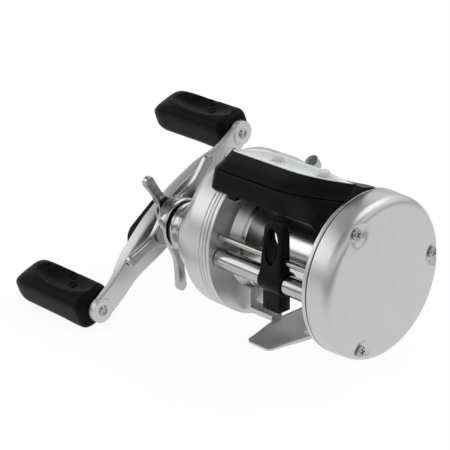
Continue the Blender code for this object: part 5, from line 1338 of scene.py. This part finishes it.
@dataclass
class SpoolSet:
    """The spool, the brake carrier and the cast control cap."""

    half: float = 16.6
    radius: float = 17.9
    flange: float = 1.5
    arbor: float = 11.8
    flank: float = 4.2
    bore: float = 2.3
    pocket: float = 11.0
    pocket_depth: float = 4.0
    carrier_face: float = 17.2
    carrier_end: float = 23.5
    carrier_wall: float = 1.5
    carrier_bore: float = 3.9
    carrier_hub: float = 6.6
    carrier_hub_end: float = 23.9
    cap_start: float = -40.5
    cap_length: float = 4.6
    cap_radius: float = 4.5
    cap_plug: float = 3.4
    cap_plug_end: float = -38.1
    cap_ribs: int = 18
    flute_depth: float = 0.32

    def build(self) -> None:
        """Build the spool, the carrier and the cap."""
        self.spool()
        self.carrier()
        self.cap()

    def spool(self) -> Object:
        """Turn the spool with rounded lips and straight flanks."""
        inner = self.half - self.flange
        lip = (inner - 0.5, self.radius - 0.5)
        root = rounded([(0.0, self.arbor), (inner - self.flank, self.arbor), lip], 1.8, 6)[1:-1]
        flank = root + rounded([root[-1], lip, (inner - 0.2, self.radius), (self.half, self.radius),
                                (self.half, self.pocket)], 0.3, 4)[1:]
        back = [(self.half - self.pocket_depth, self.pocket), (self.half - self.pocket_depth, self.bore)]
        line = [(-self.half, self.bore)] + [(-x, r) for x, r in reversed(flank)] + flank + back
        piece = turned("line_spool_drum", line + line[:1], LAYOUT.spool_axis, 144)
        return dress(piece, TURNED_METAL, "line_spool", "spool")

    def carrier(self) -> Object:
        """Turn the brake carrier with rounded lips."""
        face, end = self.carrier_face, self.carrier_end
        floor, rim = face + self.carrier_wall, self.radius - self.carrier_wall
        corners = [(face, self.carrier_bore), (face, self.radius), (end, self.radius), (end, rim), (floor, rim),
                   (floor, self.carrier_hub), (self.carrier_hub_end, self.carrier_hub),
                   (self.carrier_hub_end, self.carrier_bore)]
        piece = ring("brake_carrier_cup", corners, 0.3, 3, LAYOUT.spool_axis, 112)
        return dress(piece, SATIN_SILVER, "reel", "brake_carrier")

    def cap(self) -> Object:
        """Turn the cast control cap and press its ribs."""
        a, b = self.cap_start, self.cap_start - self.cap_length
        profile = rounded([(self.cap_plug_end, 0.0), (self.cap_plug_end, self.cap_plug), (a, self.cap_plug),
                           (a, self.cap_radius), (b + 0.9, self.cap_radius), (b, self.cap_radius - 0.9),
                           (b + 0.25, 2.2), (b + 0.25, 0.0)], 0.35, 4)
        profile = profile[:18] + [(x, self.cap_radius) for x in spread(a - 0.5, b + 1.1, 6)] + profile[18:]
        piece = turned("cast_control_knob", profile, LAYOUT.spool_axis, 216)
        y0, z0 = LAYOUT.spool_axis

        def rib(place: Vector) -> Vector:
            """Press shallow flutes between the ribs."""
            y, z = place.y - y0, place.z - z0
            radius = math.hypot(y, z)
            if radius > self.cap_radius - 0.02 and b + 0.8 < place.x < a - 0.3:
                wave = 0.5 - 0.5 * math.cos(self.cap_ribs * math.atan2(z, y))
                scale = (radius - self.flute_depth * wave) / radius
                return Vector((place.x, y0 + y * scale, z0 + z * scale))
            return place

        return dress(reshape(piece, rib), POLISHED_CHROME, "cast_cap", "cast_control_cap", angle=45.0)


@dataclass
class LevelWind:
    """The slotted tube, the guide rod and the line guide."""

    tube_radius: float = 3.35
    tube_wall: float = 0.7
    slot_width: float = 3.0
    slot_margin: float = 3.4
    seam_width: float = 0.22
    seam_angle: float = -152.0
    rod_radius: float = 1.05
    guide_x: float = 5.2
    guide_top: float = 45.7
    guide_crown: float = 4.05
    guide_waist: float = 4.6
    guide_front: float = 2.1
    guide_lean: float = 1.8
    guide_back: float = 2.1
    hub_radius: float = 4.3
    hub_length: float = 9.8
    block_width: float = 7.4
    block_depth: float = 5.4
    block_bottom: float = 14.6
    eye_width: float = 2.8
    eye_height: float = 6.4
    eye_drop: float = 6.2
    dish_width: float = 5.8
    dish_height: float = 12.6
    dish_depth: float = 2.0
    dish_lift: float = 0.8
    pawl_bore: float = 2.1
    running_gap: float = 0.3

    def build(self) -> None:
        """Build the tube, the rod and the guide."""
        self.tube()
        self.rod()
        self.guide()

    @property
    def ends(self) -> Pair:
        """Where the tube and the rod start and end."""
        return (-LAYOUT.bay + LAYOUT.gap, LAYOUT.bay - LAYOUT.gap)

    def tube(self) -> Object:
        """Turn the tube, slot it below and score the lengthwise seam."""
        low, high = self.ends
        inner = self.tube_radius - self.tube_wall
        corners = [(low, inner), (low, self.tube_radius), (high, self.tube_radius), (high, inner)]
        piece = ring("wind_tube", corners, 0.2, 3, LAYOUT.tube_axis, 96)
        y, z = LAYOUT.tube_axis
        work(piece, box("tube_slot", (low + self.slot_margin, y - self.slot_width / 2, z - self.tube_radius - 1.0),
                        (high - self.slot_margin, y + self.slot_width / 2, z - 0.5)), Joinery.CUT)
        score = box("tube_seam", (low + 1.0, y + self.tube_radius - 0.25, z - self.seam_width / 2),
                    (high - 1.0, y + self.tube_radius + 1.0, z + self.seam_width / 2))
        score.data.transform(turn_x(self.seam_angle, LAYOUT.tube_axis))
        work(piece, score, Joinery.CUT)
        return dress(piece, POLISHED_CHROME, "reel", "level_wind_tube")

    def rod(self) -> Object:
        """Turn the guide rod with rounded ends."""
        profile = rounded(peg(*self.ends, self.rod_radius), 0.25, 3)
        return dress(turned("wind_rod", profile, LAYOUT.rod_axis, 40), PLAIN_STEEL, "reel", "guide_rod")

    def oval(self, width: float, height: float, y: float, z: float) -> list[Place]:
        """An upright oval facing along Y."""
        turns = [2 * math.pi * k / 56 for k in range(56)]
        return [(self.guide_x + width / 2 * math.cos(t), y, z + height / 2 * math.sin(t)) for t in turns]

    def guide(self) -> Object:
        """Model the line guide: arched plate, hub and block, with its dished eye and bores."""
        x, tube = self.guide_x, LAYOUT.tube_axis
        front, back = LAYOUT.rod_axis[0] - self.guide_front, LAYOUT.rod_axis[0] + self.guide_back
        crown = self.guide_top - self.guide_crown
        arch = [(x - self.guide_crown * math.cos(t), crown + self.guide_crown * math.sin(t))
                for t in spread(0.0, math.pi, 33)]
        outline = [(x - self.guide_waist, tube[1])] + arch + [(x + self.guide_waist, tube[1])]
        piece = slab("line_guide_arch", [(px, front, pz) for px, pz in outline], (0.0, back - front, 0.0))

        def lean_out(place: Vector) -> Vector:
            """Lean the front face out towards the barrel."""
            if place.y < LAYOUT.rod_axis[0]:
                place.y -= self.guide_lean * max(crown - place.z, 0.0) / (crown - tube[1])
            return place

        reshape(piece, lean_out)
        soften(piece, 0.8, 5, 50.0)
        half = self.hub_length / 2
        barrel = rounded(peg(x - half, x + half, self.hub_radius), 0.5, 4)
        work(piece, turned("guide_barrel", barrel, tube, 96), Joinery.JOIN)
        wide, deep = self.block_width / 2, self.block_depth / 2
        block = box("guide_block", (x - wide, tube[0] - deep, self.block_bottom),
                    (x + wide, tube[0] + deep, tube[1] + 0.5))
        work(piece, soften(block, 0.35, 3), Joinery.JOIN)
        self.eye(piece, front, back)
        self.bores(piece)
        panel = (x - 1.5, tube[0] - deep - 1.0, self.block_bottom + 0.8)
        far = (x + 1.5, tube[0] - deep + 0.2, self.block_bottom + 2.6)
        work(piece, box("block_panel", panel, far), Joinery.CUT)
        return dress(piece, BLACK_PLASTIC, "guide", "line_guide", angle=35.0)

    def eye(self, piece: Object, front: float, back: float) -> None:
        """Cut the guide's eye, its long dish in front and the flare behind it.

        Args:
            piece: the guide.
            front: Y of the guide's front face.
            back: Y of its rear face.
        """
        eye_z = self.guide_top - self.eye_drop
        eye = [self.oval(self.eye_width, self.eye_height, y, eye_z) for y in (front - 3.0, back + 1.0)]
        work(piece, skin("eye", eye), Joinery.CUT)
        low = eye_z - (self.dish_height - self.eye_height) / 2 + self.dish_lift
        dish = [self.oval(self.dish_width, self.dish_height, front - 3.0, low)]
        for share in spread(0.0, 1.0, 10):
            ease = share ** 0.8
            width = self.dish_width + (1.05 * self.eye_width - self.dish_width) * ease
            height = self.dish_height + (1.05 * self.eye_height - self.dish_height) * ease
            y = front - 0.05 + self.dish_depth * share
            dish.append(self.oval(width, height, y, low + (eye_z - low) * ease))
        work(piece, skin("dish", dish), Joinery.CUT)
        flare = [self.oval(self.eye_width, self.eye_height, back - self.dish_depth, eye_z),
                 self.oval(self.dish_width, self.eye_height + 1.0, back + 0.2, eye_z)]
        work(piece, skin("back_flare", flare), Joinery.CUT)

    def bores(self, piece: Object) -> None:
        """Bore the guide for the tube, the rod and the pawl."""
        x, half = self.guide_x, self.hub_length / 2
        tube, rod = LAYOUT.tube_axis, LAYOUT.rod_axis
        for name, axis, radius in (("tube_bore", tube, self.tube_radius), ("rod_bore", rod, self.rod_radius)):
            bore = peg(x - half - 1.0, x + half + 1.0, radius + self.running_gap)
            work(piece, turned(name, bore, axis, 64), Joinery.CUT)
        pawl = peg(self.block_bottom - 1.0, tube[1], self.pawl_bore)
        work(piece, upright("pawl_bore", pawl, (x, tube[0]), 40), Joinery.CUT)


@dataclass
class Counter:
    """The line counter's housing, face panel and buttons, in millimetres over the spool axis."""

    left: float = -29.4
    right: float = 20.6
    under: float = 20.6
    seam: float = 27.0
    top: float = 32.2
    rear_top: float = 29.8
    front_low: float = 20.3
    front_seam: float = 18.7
    front_top: float = 12.4
    rear: float = 2.6
    rear_lean: float = 1.4
    sweep: float = 7.2
    sweep_start: float = -1.0
    sweep_power: float = 1.7
    top_sweep: float = 0.88
    top_drop: float = 0.4
    corner: float = 3.4
    corner_steps: tuple[int, ...] = (4, 12, 20, 28, 36, 44, 52, 60, 68, 76, 84, 90)
    rear_corner: float = 8.0
    lean: float = 2.0
    hollow: float = 0.6
    tail: float = 1.6
    rear_sweep: float = 3.2
    flare: float = 5.6
    flare_start: float = 11.0
    flare_drop: float = 0.9
    step: float = 0.5
    leg: float = 1.8
    leg_run: float = 4.0
    undercut: float = 2.0
    border: float = 0.35
    panel_thick: float = 0.9
    panel_proud: float = 0.2
    panel_ends: float = 0.9
    button_spots: tuple[float, float] = (-10.2, 9.9)
    button_y: float = -6.2
    button_radius: float = 1.95
    button_proud: float = 2.4
    button_flange: float = 2.7
    pocket: tuple[float, float, float, float] = (-15.0, 14.0, -10.6, -1.6)
    pocket_floor: float = 1.5
    wall: float = 2.0
    clip: tuple[Place, Place] = ((-20.3, -19.6, 44.8), (-16.9, -17.2, 47.4))
    crease: tuple[Place, Place] = ((16.6, -14.9, 50.6), (19.4, -19.6, 46.6))
    crease_depth: float = 0.35
    crease_width: float = 0.3
    clear_reach: float = 60.0

    def build(self) -> None:
        """Build the two halves, the face panel and the buttons."""
        self.base()
        self.cover()
        self.panel()
        self.buttons()

    @property
    def axis_z(self) -> float:
        """Height of the spool axis."""
        return LAYOUT.spool_axis[1]

    def along(self, end: float) -> list[float]:
        """Places along the housing up to its right end, close together at its rounded left end."""
        corner = [self.left + self.corner * (1 - math.cos(math.radians(a))) for a in self.corner_steps]
        return corner + spread(corner[-1], end, 66)[1:]

    def setback(self, x: float) -> float:
        """How far the front wall stands back: round the left corner, and swept at the palm side."""
        share = max((x - self.sweep_start) / (self.right - self.sweep_start), 0.0)
        back = self.sweep * share ** self.sweep_power
        near = self.corner - (x - self.left)
        if near > 0:
            back += self.corner - math.sqrt(self.corner ** 2 - near ** 2)
        return back

    def flared(self, x: float) -> float:
        """Share of the flare that runs back along the palm ring."""
        return smoothstep(self.flare_start, self.right, x)

    def rear_wall(self, x: float) -> float:
        """Where the rear wall is, with the flare at the right end."""
        return self.panel_line(x) + self.flare * self.flared(x)

    def panel_line(self, x: float) -> float:
        """Where the rear edge of the sloping top is, round at the left end and swept in at the right."""
        near = self.rear_corner - (x - self.left)
        if near <= 0:
            return self.rear - self.rear_sweep * smoothstep(-2.0, self.right + self.tail + 1.5, x)
        return self.rear - self.rear_corner + math.sqrt(self.rear_corner ** 2 - near ** 2)

    def leaned(self, x: float, height: float) -> float:
        """Shift towards the palm side, so that the left end leans in above the seam."""
        share = max(height - self.seam, 0.0) / (self.top - self.seam)
        return x + self.lean * share * (self.right - x) / (self.right - self.left)

    def front_edge(self, x: float) -> Pair:
        """Front edge of the sloping top: its (y, height)."""
        drop = self.top_drop * smoothstep(self.sweep_start, self.right, x)
        return (-self.front_top + self.top_sweep * self.setback(x), self.top - drop)

    def base_section(self, x: float) -> list[Place]:
        """Section of the lower half, from the seam down."""
        leg = self.leg * smoothstep(self.right - self.leg_run, self.right, x)
        front = -self.front_low + self.setback(min(x, self.sweep_start))
        rear = self.rear_wall(x)
        corners = [(front, self.under - leg), (-self.front_seam + self.setback(x), self.seam), (rear, self.seam),
                   (rear, self.under), (front + self.undercut, self.under)]
        points = rounded(corners, 0.5, 4, closed=True)
        return [(x, y, self.axis_z + h) for y, h in points]

    def cover_section(self, x: float) -> list[Place]:
        """Section of the upper half: hollow front slope, sloping top and rear wall."""
        seam = self.seam + LAYOUT.gap
        seam_y = -self.front_seam + self.setback(x) + self.step
        top_y, top_h = self.front_edge(x)
        rear = self.rear_wall(x)
        low = self.rear_top - 1.0 - self.flare_drop * self.flared(x)
        points = [(seam_y, seam)]
        for share in spread(0.0, 1.0, 11)[1:-1]:
            dip = 0.7 * self.hollow * math.sin(math.pi * share)
            points.append((seam_y + (top_y - seam_y) * share + dip, seam + (top_h - seam) * share - dip))
        points += [(top_y, top_h), (self.panel_line(x) - self.rear_lean, self.rear_top), (rear, low),
                   (rear, seam)]
        line = rounded(points, 0.2, 4, closed=True)
        return [(self.leaned(x, h), y, self.axis_z + h) for y, h in line]

    def panel_section(self, x: float, border: float, sink: float, proud: float, radius: float) -> list[Place]:
        """Section of the face panel in the sloping top, or of its recess."""
        top_y, top_h = self.front_edge(x)
        rear_y = self.panel_line(x) - self.rear_lean
        slope = (self.rear_top - top_h) / (rear_y - top_y)
        y_a, y_b = top_y + border, rear_y - border
        corners = rounded([(y_a, proud), (y_b, proud), (y_b, -sink), (y_a, -sink)], radius, 3, closed=True)
        section = []
        for y, lift in corners:
            height = top_h + slope * (y - top_y)
            section.append((self.leaned(x, height), y, self.axis_z + height + lift))
        return section

    def clearance(self, name: str) -> Object:
        """The solid that keeps the housing clear of the gear ring and the gear plate."""
        end, radius = -LAYOUT.bay + LAYOUT.gap, LAYOUT.plate_radius + LAYOUT.gap
        return turned(name, peg(-self.clear_reach, end, radius), LAYOUT.spool_axis, 160)

    def base(self) -> Object:
        """Skin the lower half and cut its pocket."""
        piece = skin("counter_lower_half", [self.base_section(x) for x in self.along(self.right)])
        work(piece, self.clearance("base_clearance"), Joinery.CUT)
        x_a, x_b, y_a, y_b = self.pocket
        seam = self.axis_z + self.seam
        floor = self.axis_z + self.under + self.pocket_floor
        work(piece, box("base_pocket", (x_a, y_a, floor), (x_b, y_b, seam + 1.0)), Joinery.CUT)
        work(piece, soften(box("clip", *self.clip), 0.2, 2), Joinery.JOIN)
        (xa, ya, za), (xb, yb, zb) = self.crease
        deep = self.crease_depth
        outline = [(xa, ya - 1.0, za), (xa, ya + deep, za), (xb, yb + deep, zb), (xb, yb - 1.0, zb)]
        work(piece, slab("leg_crease", outline, (self.crease_width, 0.0, 0.0)), Joinery.CUT)
        return dress(piece, BLACK_PLASTIC, "reel", "counter_base", angle=40.0)

    def cover(self) -> Object:
        """Skin the upper half and cut its recess, pocket and button holes."""
        piece = skin("counter_upper_half", [self.cover_section(x) for x in self.along(self.right + self.tail)])
        work(piece, self.clearance("cover_clearance"), Joinery.CUT)
        radius = LAYOUT.plate_radius + LAYOUT.gap
        palm = peg(self.right, self.clear_reach, radius)
        work(piece, turned("palm_clearance", palm, LAYOUT.spool_axis, 160), Joinery.CUT)
        ends = spread(self.left + self.panel_ends, self.right + self.panel_ends, 52)
        recess = [self.panel_section(x, self.border, self.panel_thick + LAYOUT.gap, 2.0, 0.05) for x in ends]
        work(piece, skin("panel_recess", recess), Joinery.CUT)
        x_a, x_b, y_a, y_b = self.pocket
        seam = self.axis_z + self.seam
        roof = seam + self.wall - LAYOUT.gap
        work(piece, box("cover_pocket", (x_a, y_a, seam - 1.0), (x_b, y_b, roof)), Joinery.CUT)
        self.button_holes(piece)
        return dress(piece, BLACK_PLASTIC, "reel", "counter_cover", angle=40.0)

    def panel(self) -> Object:
        """Skin the face panel and cut its button holes."""
        inset = self.panel_ends + LAYOUT.gap / 2
        ends = spread(self.left + inset, self.right + self.panel_ends - LAYOUT.gap / 2, 68)
        border = self.border + LAYOUT.gap / 2
        sections = [self.panel_section(x, border, self.panel_thick, self.panel_proud, 0.25) for x in ends]
        piece = skin("counter_face", sections)
        self.button_holes(piece)
        return dress(piece, PALE_FACE, "reel", "counter_window", angle=40.0)

    def button_holes(self, piece: Object) -> None:
        """Cut a hole for each button."""
        hole = peg(self.axis_z + self.seam, self.axis_z + self.top + 3.0, self.button_radius + 0.25)
        for x in self.button_spots:
            work(piece, upright("button_hole", hole, (x, self.button_y), 48), Joinery.CUT)

    def button_top(self, x: float) -> float:
        """Height of a button's top."""
        top_y, top_h = self.front_edge(x)
        rear_y = self.panel_line(x) - self.rear_lean
        height = top_h + (self.rear_top - top_h) * (self.button_y - top_y) / (rear_y - top_y)
        return self.axis_z + height + self.button_proud

    def buttons(self) -> None:
        """Turn one button with a rounded top, and copy it to the other hole."""
        left, right = self.button_spots
        top = self.button_top(left)
        flange = self.axis_z + self.seam + self.wall - 2 * LAYOUT.gap
        dome = [(top - 0.45 * (r / self.button_radius) ** 4, r) for r in spread(self.button_radius - 0.25, 0.0, 10)]
        profile = rounded([(flange - 0.6, 0.0), (flange - 0.6, self.button_flange), (flange, self.button_flange),
                           (flange, self.button_radius), (top - 0.9, self.button_radius)], 0.15, 3)
        button = upright("left_button_cap", profile + dome, (left, self.button_y), 64)
        copy = copy_of(button, "right_button_cap", shift(right - left, 0.0, self.button_top(right) - top))
        dress(button, FROSTED_PLASTIC, "left_button", "counter_button_left", angle=50.0)
        dress(copy, FROSTED_PLASTIC, "right_button", "counter_button_right", angle=50.0)


@dataclass
class ThumbLever:
    """The free spool lever with its deep thumb tab."""

    angle: float = math.radians(35.0)
    x: float = -25.8
    thick: float = 1.6
    set_down: float = 0.9
    width: float = 3.2
    tab_width: float = 5.2
    tab_length: float = 5.4
    tab_depth: float = 3.6
    tab_round: float = 2.9
    standoff: float = 1.6
    root: float = 24.4

    def at(self, reach: float, drop: float) -> Pair:
        """The (y, z) place at a radius out along the lever and a distance down its travel."""
        c, s = math.cos(self.angle), math.sin(self.angle)
        y, z = LAYOUT.spool_axis
        return (y + reach * c + drop * s, z + reach * s - drop * c)

    def plate(self, name: str, plan: Sequence[Pair], drop_a: float, drop_b: float) -> Object:
        """Extrude a plan of (radius, half width) steps down the lever's travel."""
        corners = [(r, self.x + w) for r, w in plan] + [(r, self.x - w) for r, w in reversed(plan)]
        edge = rounded(corners, 0.4, 4, closed=True)
        start, end = self.at(0.0, drop_a), self.at(0.0, drop_b)
        outline = [(x, *self.at(reach, drop_a)) for reach, x in edge]
        return slab(name, outline, (0.0, end[0] - start[0], end[1] - start[1]))

    def build(self) -> Object:
        """Model the tab and the stem and join them."""
        wide, stem = self.tab_width / 2, self.width / 2
        tab = LAYOUT.plate_radius + self.standoff
        end = tab + self.tab_length
        plan = [(tab, 0.7 * wide)] + [(end - self.tab_round * (1 - math.sin(t)), wide * math.cos(t))
                                      for t in spread(0.0, math.radians(84.0), 9)]
        piece = self.plate("thumb_lever_tab", plan, 0.0, self.tab_depth)
        soften(piece, 0.22, 3, 40.0)
        stalk = self.plate("lever_stem", [(self.root, stem), (tab + 0.5 * self.tab_length, stem)], self.set_down,
                           self.set_down + self.thick)
        work(piece, soften(stalk, 0.25, 3, 40.0), Joinery.JOIN)
        return dress(piece, POLISHED_CHROME, "thumb_lever", "release_lever", angle=40.0)


@dataclass
class Studio:
    """The floor, the soft lights and the camera."""

    camera_place: Place = (363.0, -398.9, 260.3)
    camera_right: Place = (0.70215, 0.71203, 0.0)
    camera_up: Place = (-0.27398, 0.27017, 0.92301)
    camera_back: Place = (0.65721, -0.64809, 0.38478)
    lens: float = 141.72
    floor_z: float = -5.2
    floor_size: float = 6.0
    floor_colour: tuple[float, ...] = (0.86, 0.86, 0.86, 1.0)
    floor_white: float = 1.05
    shadow: float = 0.12
    sky: tuple[Pair, ...] = ((0.0, 0.3), (0.1, 0.3), (0.26, 1.0), (0.55, 0.95), (0.74, 0.2))
    table_dim: float = 0.2
    table: Pair = (0.06, 0.22)
    lights: dict[str, tuple[Place, Place, float, float]] = field(default_factory=lambda: {
        "key": ((-520.0, -430.0, 400.0), (0.0, 0.0, 20.0), 0.5, 0.6),
        "top": ((80.0, 260.0, 640.0), (0.0, 0.0, 20.0), 0.6, 1.9),
    })

    def build(self) -> None:
        """Set up the whole studio."""
        self.floor()
        self.world()
        self.lamps()
        self.camera()
        bpy.context.scene.view_settings.view_transform = "Standard"

    def background_rays(self, tree: bpy.types.NodeTree) -> bpy.types.NodeSocket:
        """Light path nodes that are 1 for rays that see the background.

        Args:
            tree: the nodes of the floor or the world.

        Returns:
            The value socket.
        """
        path = tree.nodes.new("ShaderNodeLightPath")
        total = path.outputs["Is Camera Ray"]
        for name in ("Is Glossy Ray", "Is Transmission Ray"):
            most = add_node(tree, "ShaderNodeMath", {0: total, 1: path.outputs[name]}, "MAXIMUM")
            total = most.outputs["Value"]
        return total

    def floor(self) -> Object:
        """Lay a wide pale floor that looks white and keeps the object's shadow."""
        settle()
        bpy.ops.mesh.primitive_plane_add(size=self.floor_size, location=(0.0, 0.0, self.floor_z * MM))
        floor = bpy.context.object
        floor.name = "studio_floor"
        bpy.ops.object.transform_apply(location=True, rotation=False, scale=True)
        bpy.ops.object.mode_set(mode="EDIT")
        bpy.ops.mesh.subdivide(number_cuts=4)
        settle()
        made = bpy.data.materials.new("studio_floor")
        made.use_nodes = True
        tree = made.node_tree
        shader = tree.nodes["Principled BSDF"]
        feed(tree, shader, {"Base Color": self.floor_colour, "Roughness": 0.9, "Specular IOR Level": 0.0})
        white = add_node(tree, "ShaderNodeEmission", {"Strength": self.table_edge(tree)})
        share = add_node(tree, "ShaderNodeMath", {0: self.background_rays(tree), 1: 1.0 - self.shadow}, "MULTIPLY")
        mix = add_node(tree, "ShaderNodeMixShader", {
            "Fac": share.outputs["Value"], 1: shader.outputs["BSDF"], 2: white.outputs["Emission"]})
        feed(tree, tree.nodes["Material Output"], {"Surface": mix.outputs["Shader"]})
        floor.data.materials.append(made)
        return floor

    def table_edge(self, tree: bpy.types.NodeTree) -> bpy.types.NodeSocket:
        """Let reflections find the white table ending some way out on the camera's side.

        Args:
            tree: the floor's nodes.

        Returns:
            The strength of the floor's white.
        """
        place = add_node(tree, "ShaderNodeTexCoord", {}).outputs["Object"]
        camera_side = (self.camera_back[0], self.camera_back[1], 0.0)
        towards = add_node(tree, "ShaderNodeVectorMath", {0: place, 1: camera_side}, "DOT_PRODUCT")
        edge = add_node(tree, "ShaderNodeMapRange", {
            "Value": towards.outputs["Value"], "From Min": self.table[0], "From Max": self.table[1],
            "To Min": 1.0, "To Max": self.table_dim})
        edge.interpolation_type = "SMOOTHSTEP"
        path = add_node(tree, "ShaderNodeLightPath", {})
        white = add_node(tree, "ShaderNodeMix", {
            "Factor": path.outputs["Is Glossy Ray"], "A": self.floor_white, "B": edge.outputs["Result"]})
        return white.outputs["Result"]

    def world(self) -> None:
        """White surroundings for the camera, and a banded sky for light and reflections."""
        world = bpy.data.worlds.new("studio")
        bpy.context.scene.world = world
        world.use_nodes = True
        tree = world.node_tree
        backdrop = tree.nodes["Background"]
        around = add_node(tree, "ShaderNodeTexCoord", {}).outputs["Generated"]
        split = add_node(tree, "ShaderNodeSeparateXYZ", {"Vector": around})
        sky = add_node(tree, "ShaderNodeValToRGB", {"Fac": split.outputs["Z"]})
        sky.color_ramp.interpolation = "EASE"
        bands = sky.color_ramp.elements
        for height, _ in self.sky[1:-1]:
            bands.new(height)
        for band, (height, glow) in zip(bands, self.sky):
            band.position = height
            band.color = (glow, glow, glow, 1.0)
        path = add_node(tree, "ShaderNodeLightPath", {})
        seen = add_node(tree, "ShaderNodeMath", {
            0: path.outputs["Is Camera Ray"], 1: path.outputs["Is Transmission Ray"]}, "MAXIMUM")
        white = add_node(tree, "ShaderNodeMix", {
            "Factor": seen.outputs["Value"], "A": sky.outputs["Color"], "B": 1.0})
        feed(tree, backdrop, {"Color": (1.0, 1.0, 1.0, 1.0), "Strength": white.outputs["Result"]})

    def lamps(self) -> None:
        """Hang the soft lights."""
        for name, (place, target, size, power) in self.lights.items():
            settle()
            bpy.ops.object.light_add(type="AREA", location=Vector(place) * MM)
            lamp = bpy.context.object
            lamp.name = "studio_" + name
            lamp.rotation_euler = (Vector(place) - Vector(target)).to_track_quat("Z", "Y").to_euler()
            lamp.data.size = size
            lamp.data.energy = power

    def camera(self) -> None:
        """Place the camera at the photograph's angle."""
        settle()
        bpy.ops.object.camera_add()
        camera = bpy.context.object
        axes = Matrix((self.camera_right, self.camera_up, self.camera_back)).transposed()
        camera.matrix_world = Matrix.Translation(Vector(self.camera_place) * MM) @ axes.to_4x4()
        camera.data.lens = self.lens
        camera.data.sensor_width = 36.0
        camera.data.clip_start = 0.01
        bpy.context.scene.camera = camera


def dress_hidden(replaced: set[str]) -> None:
    """Give every CAD node that stays its finish.

    Args:
        replaced: names of the nodes that new pieces stand for.
    """
    slots = {part["node"]: part["material_slot"] for part in frame["record"]["subparts"]}
    for name, node in frame["nodes"].items():
        if name in replaced:
            continue
        node.data.materials.clear()
        node.data.materials.append(FINISHES[slots[name]].material())
        LOG.info("%s keeps its CAD mesh", name)


def main() -> None:
    """Build every sub-assembly in order."""
    logging.basicConfig(level=logging.INFO, format="%(name)s: %(message)s")
    groups = (SidePlates(), FrameAndFoot(), DriveLine(), Handle(), SpoolSet(), LevelWind(), Counter(), ThumbLever())
    for group in groups:
        LOG.info("building %s", type(group).__name__)
        group.build()
    replaced = {n for o in bpy.data.objects for n in o.get("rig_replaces", [])}
    dress_hidden(replaced)
    Studio().build()


if __name__ == "__main__":
    main()
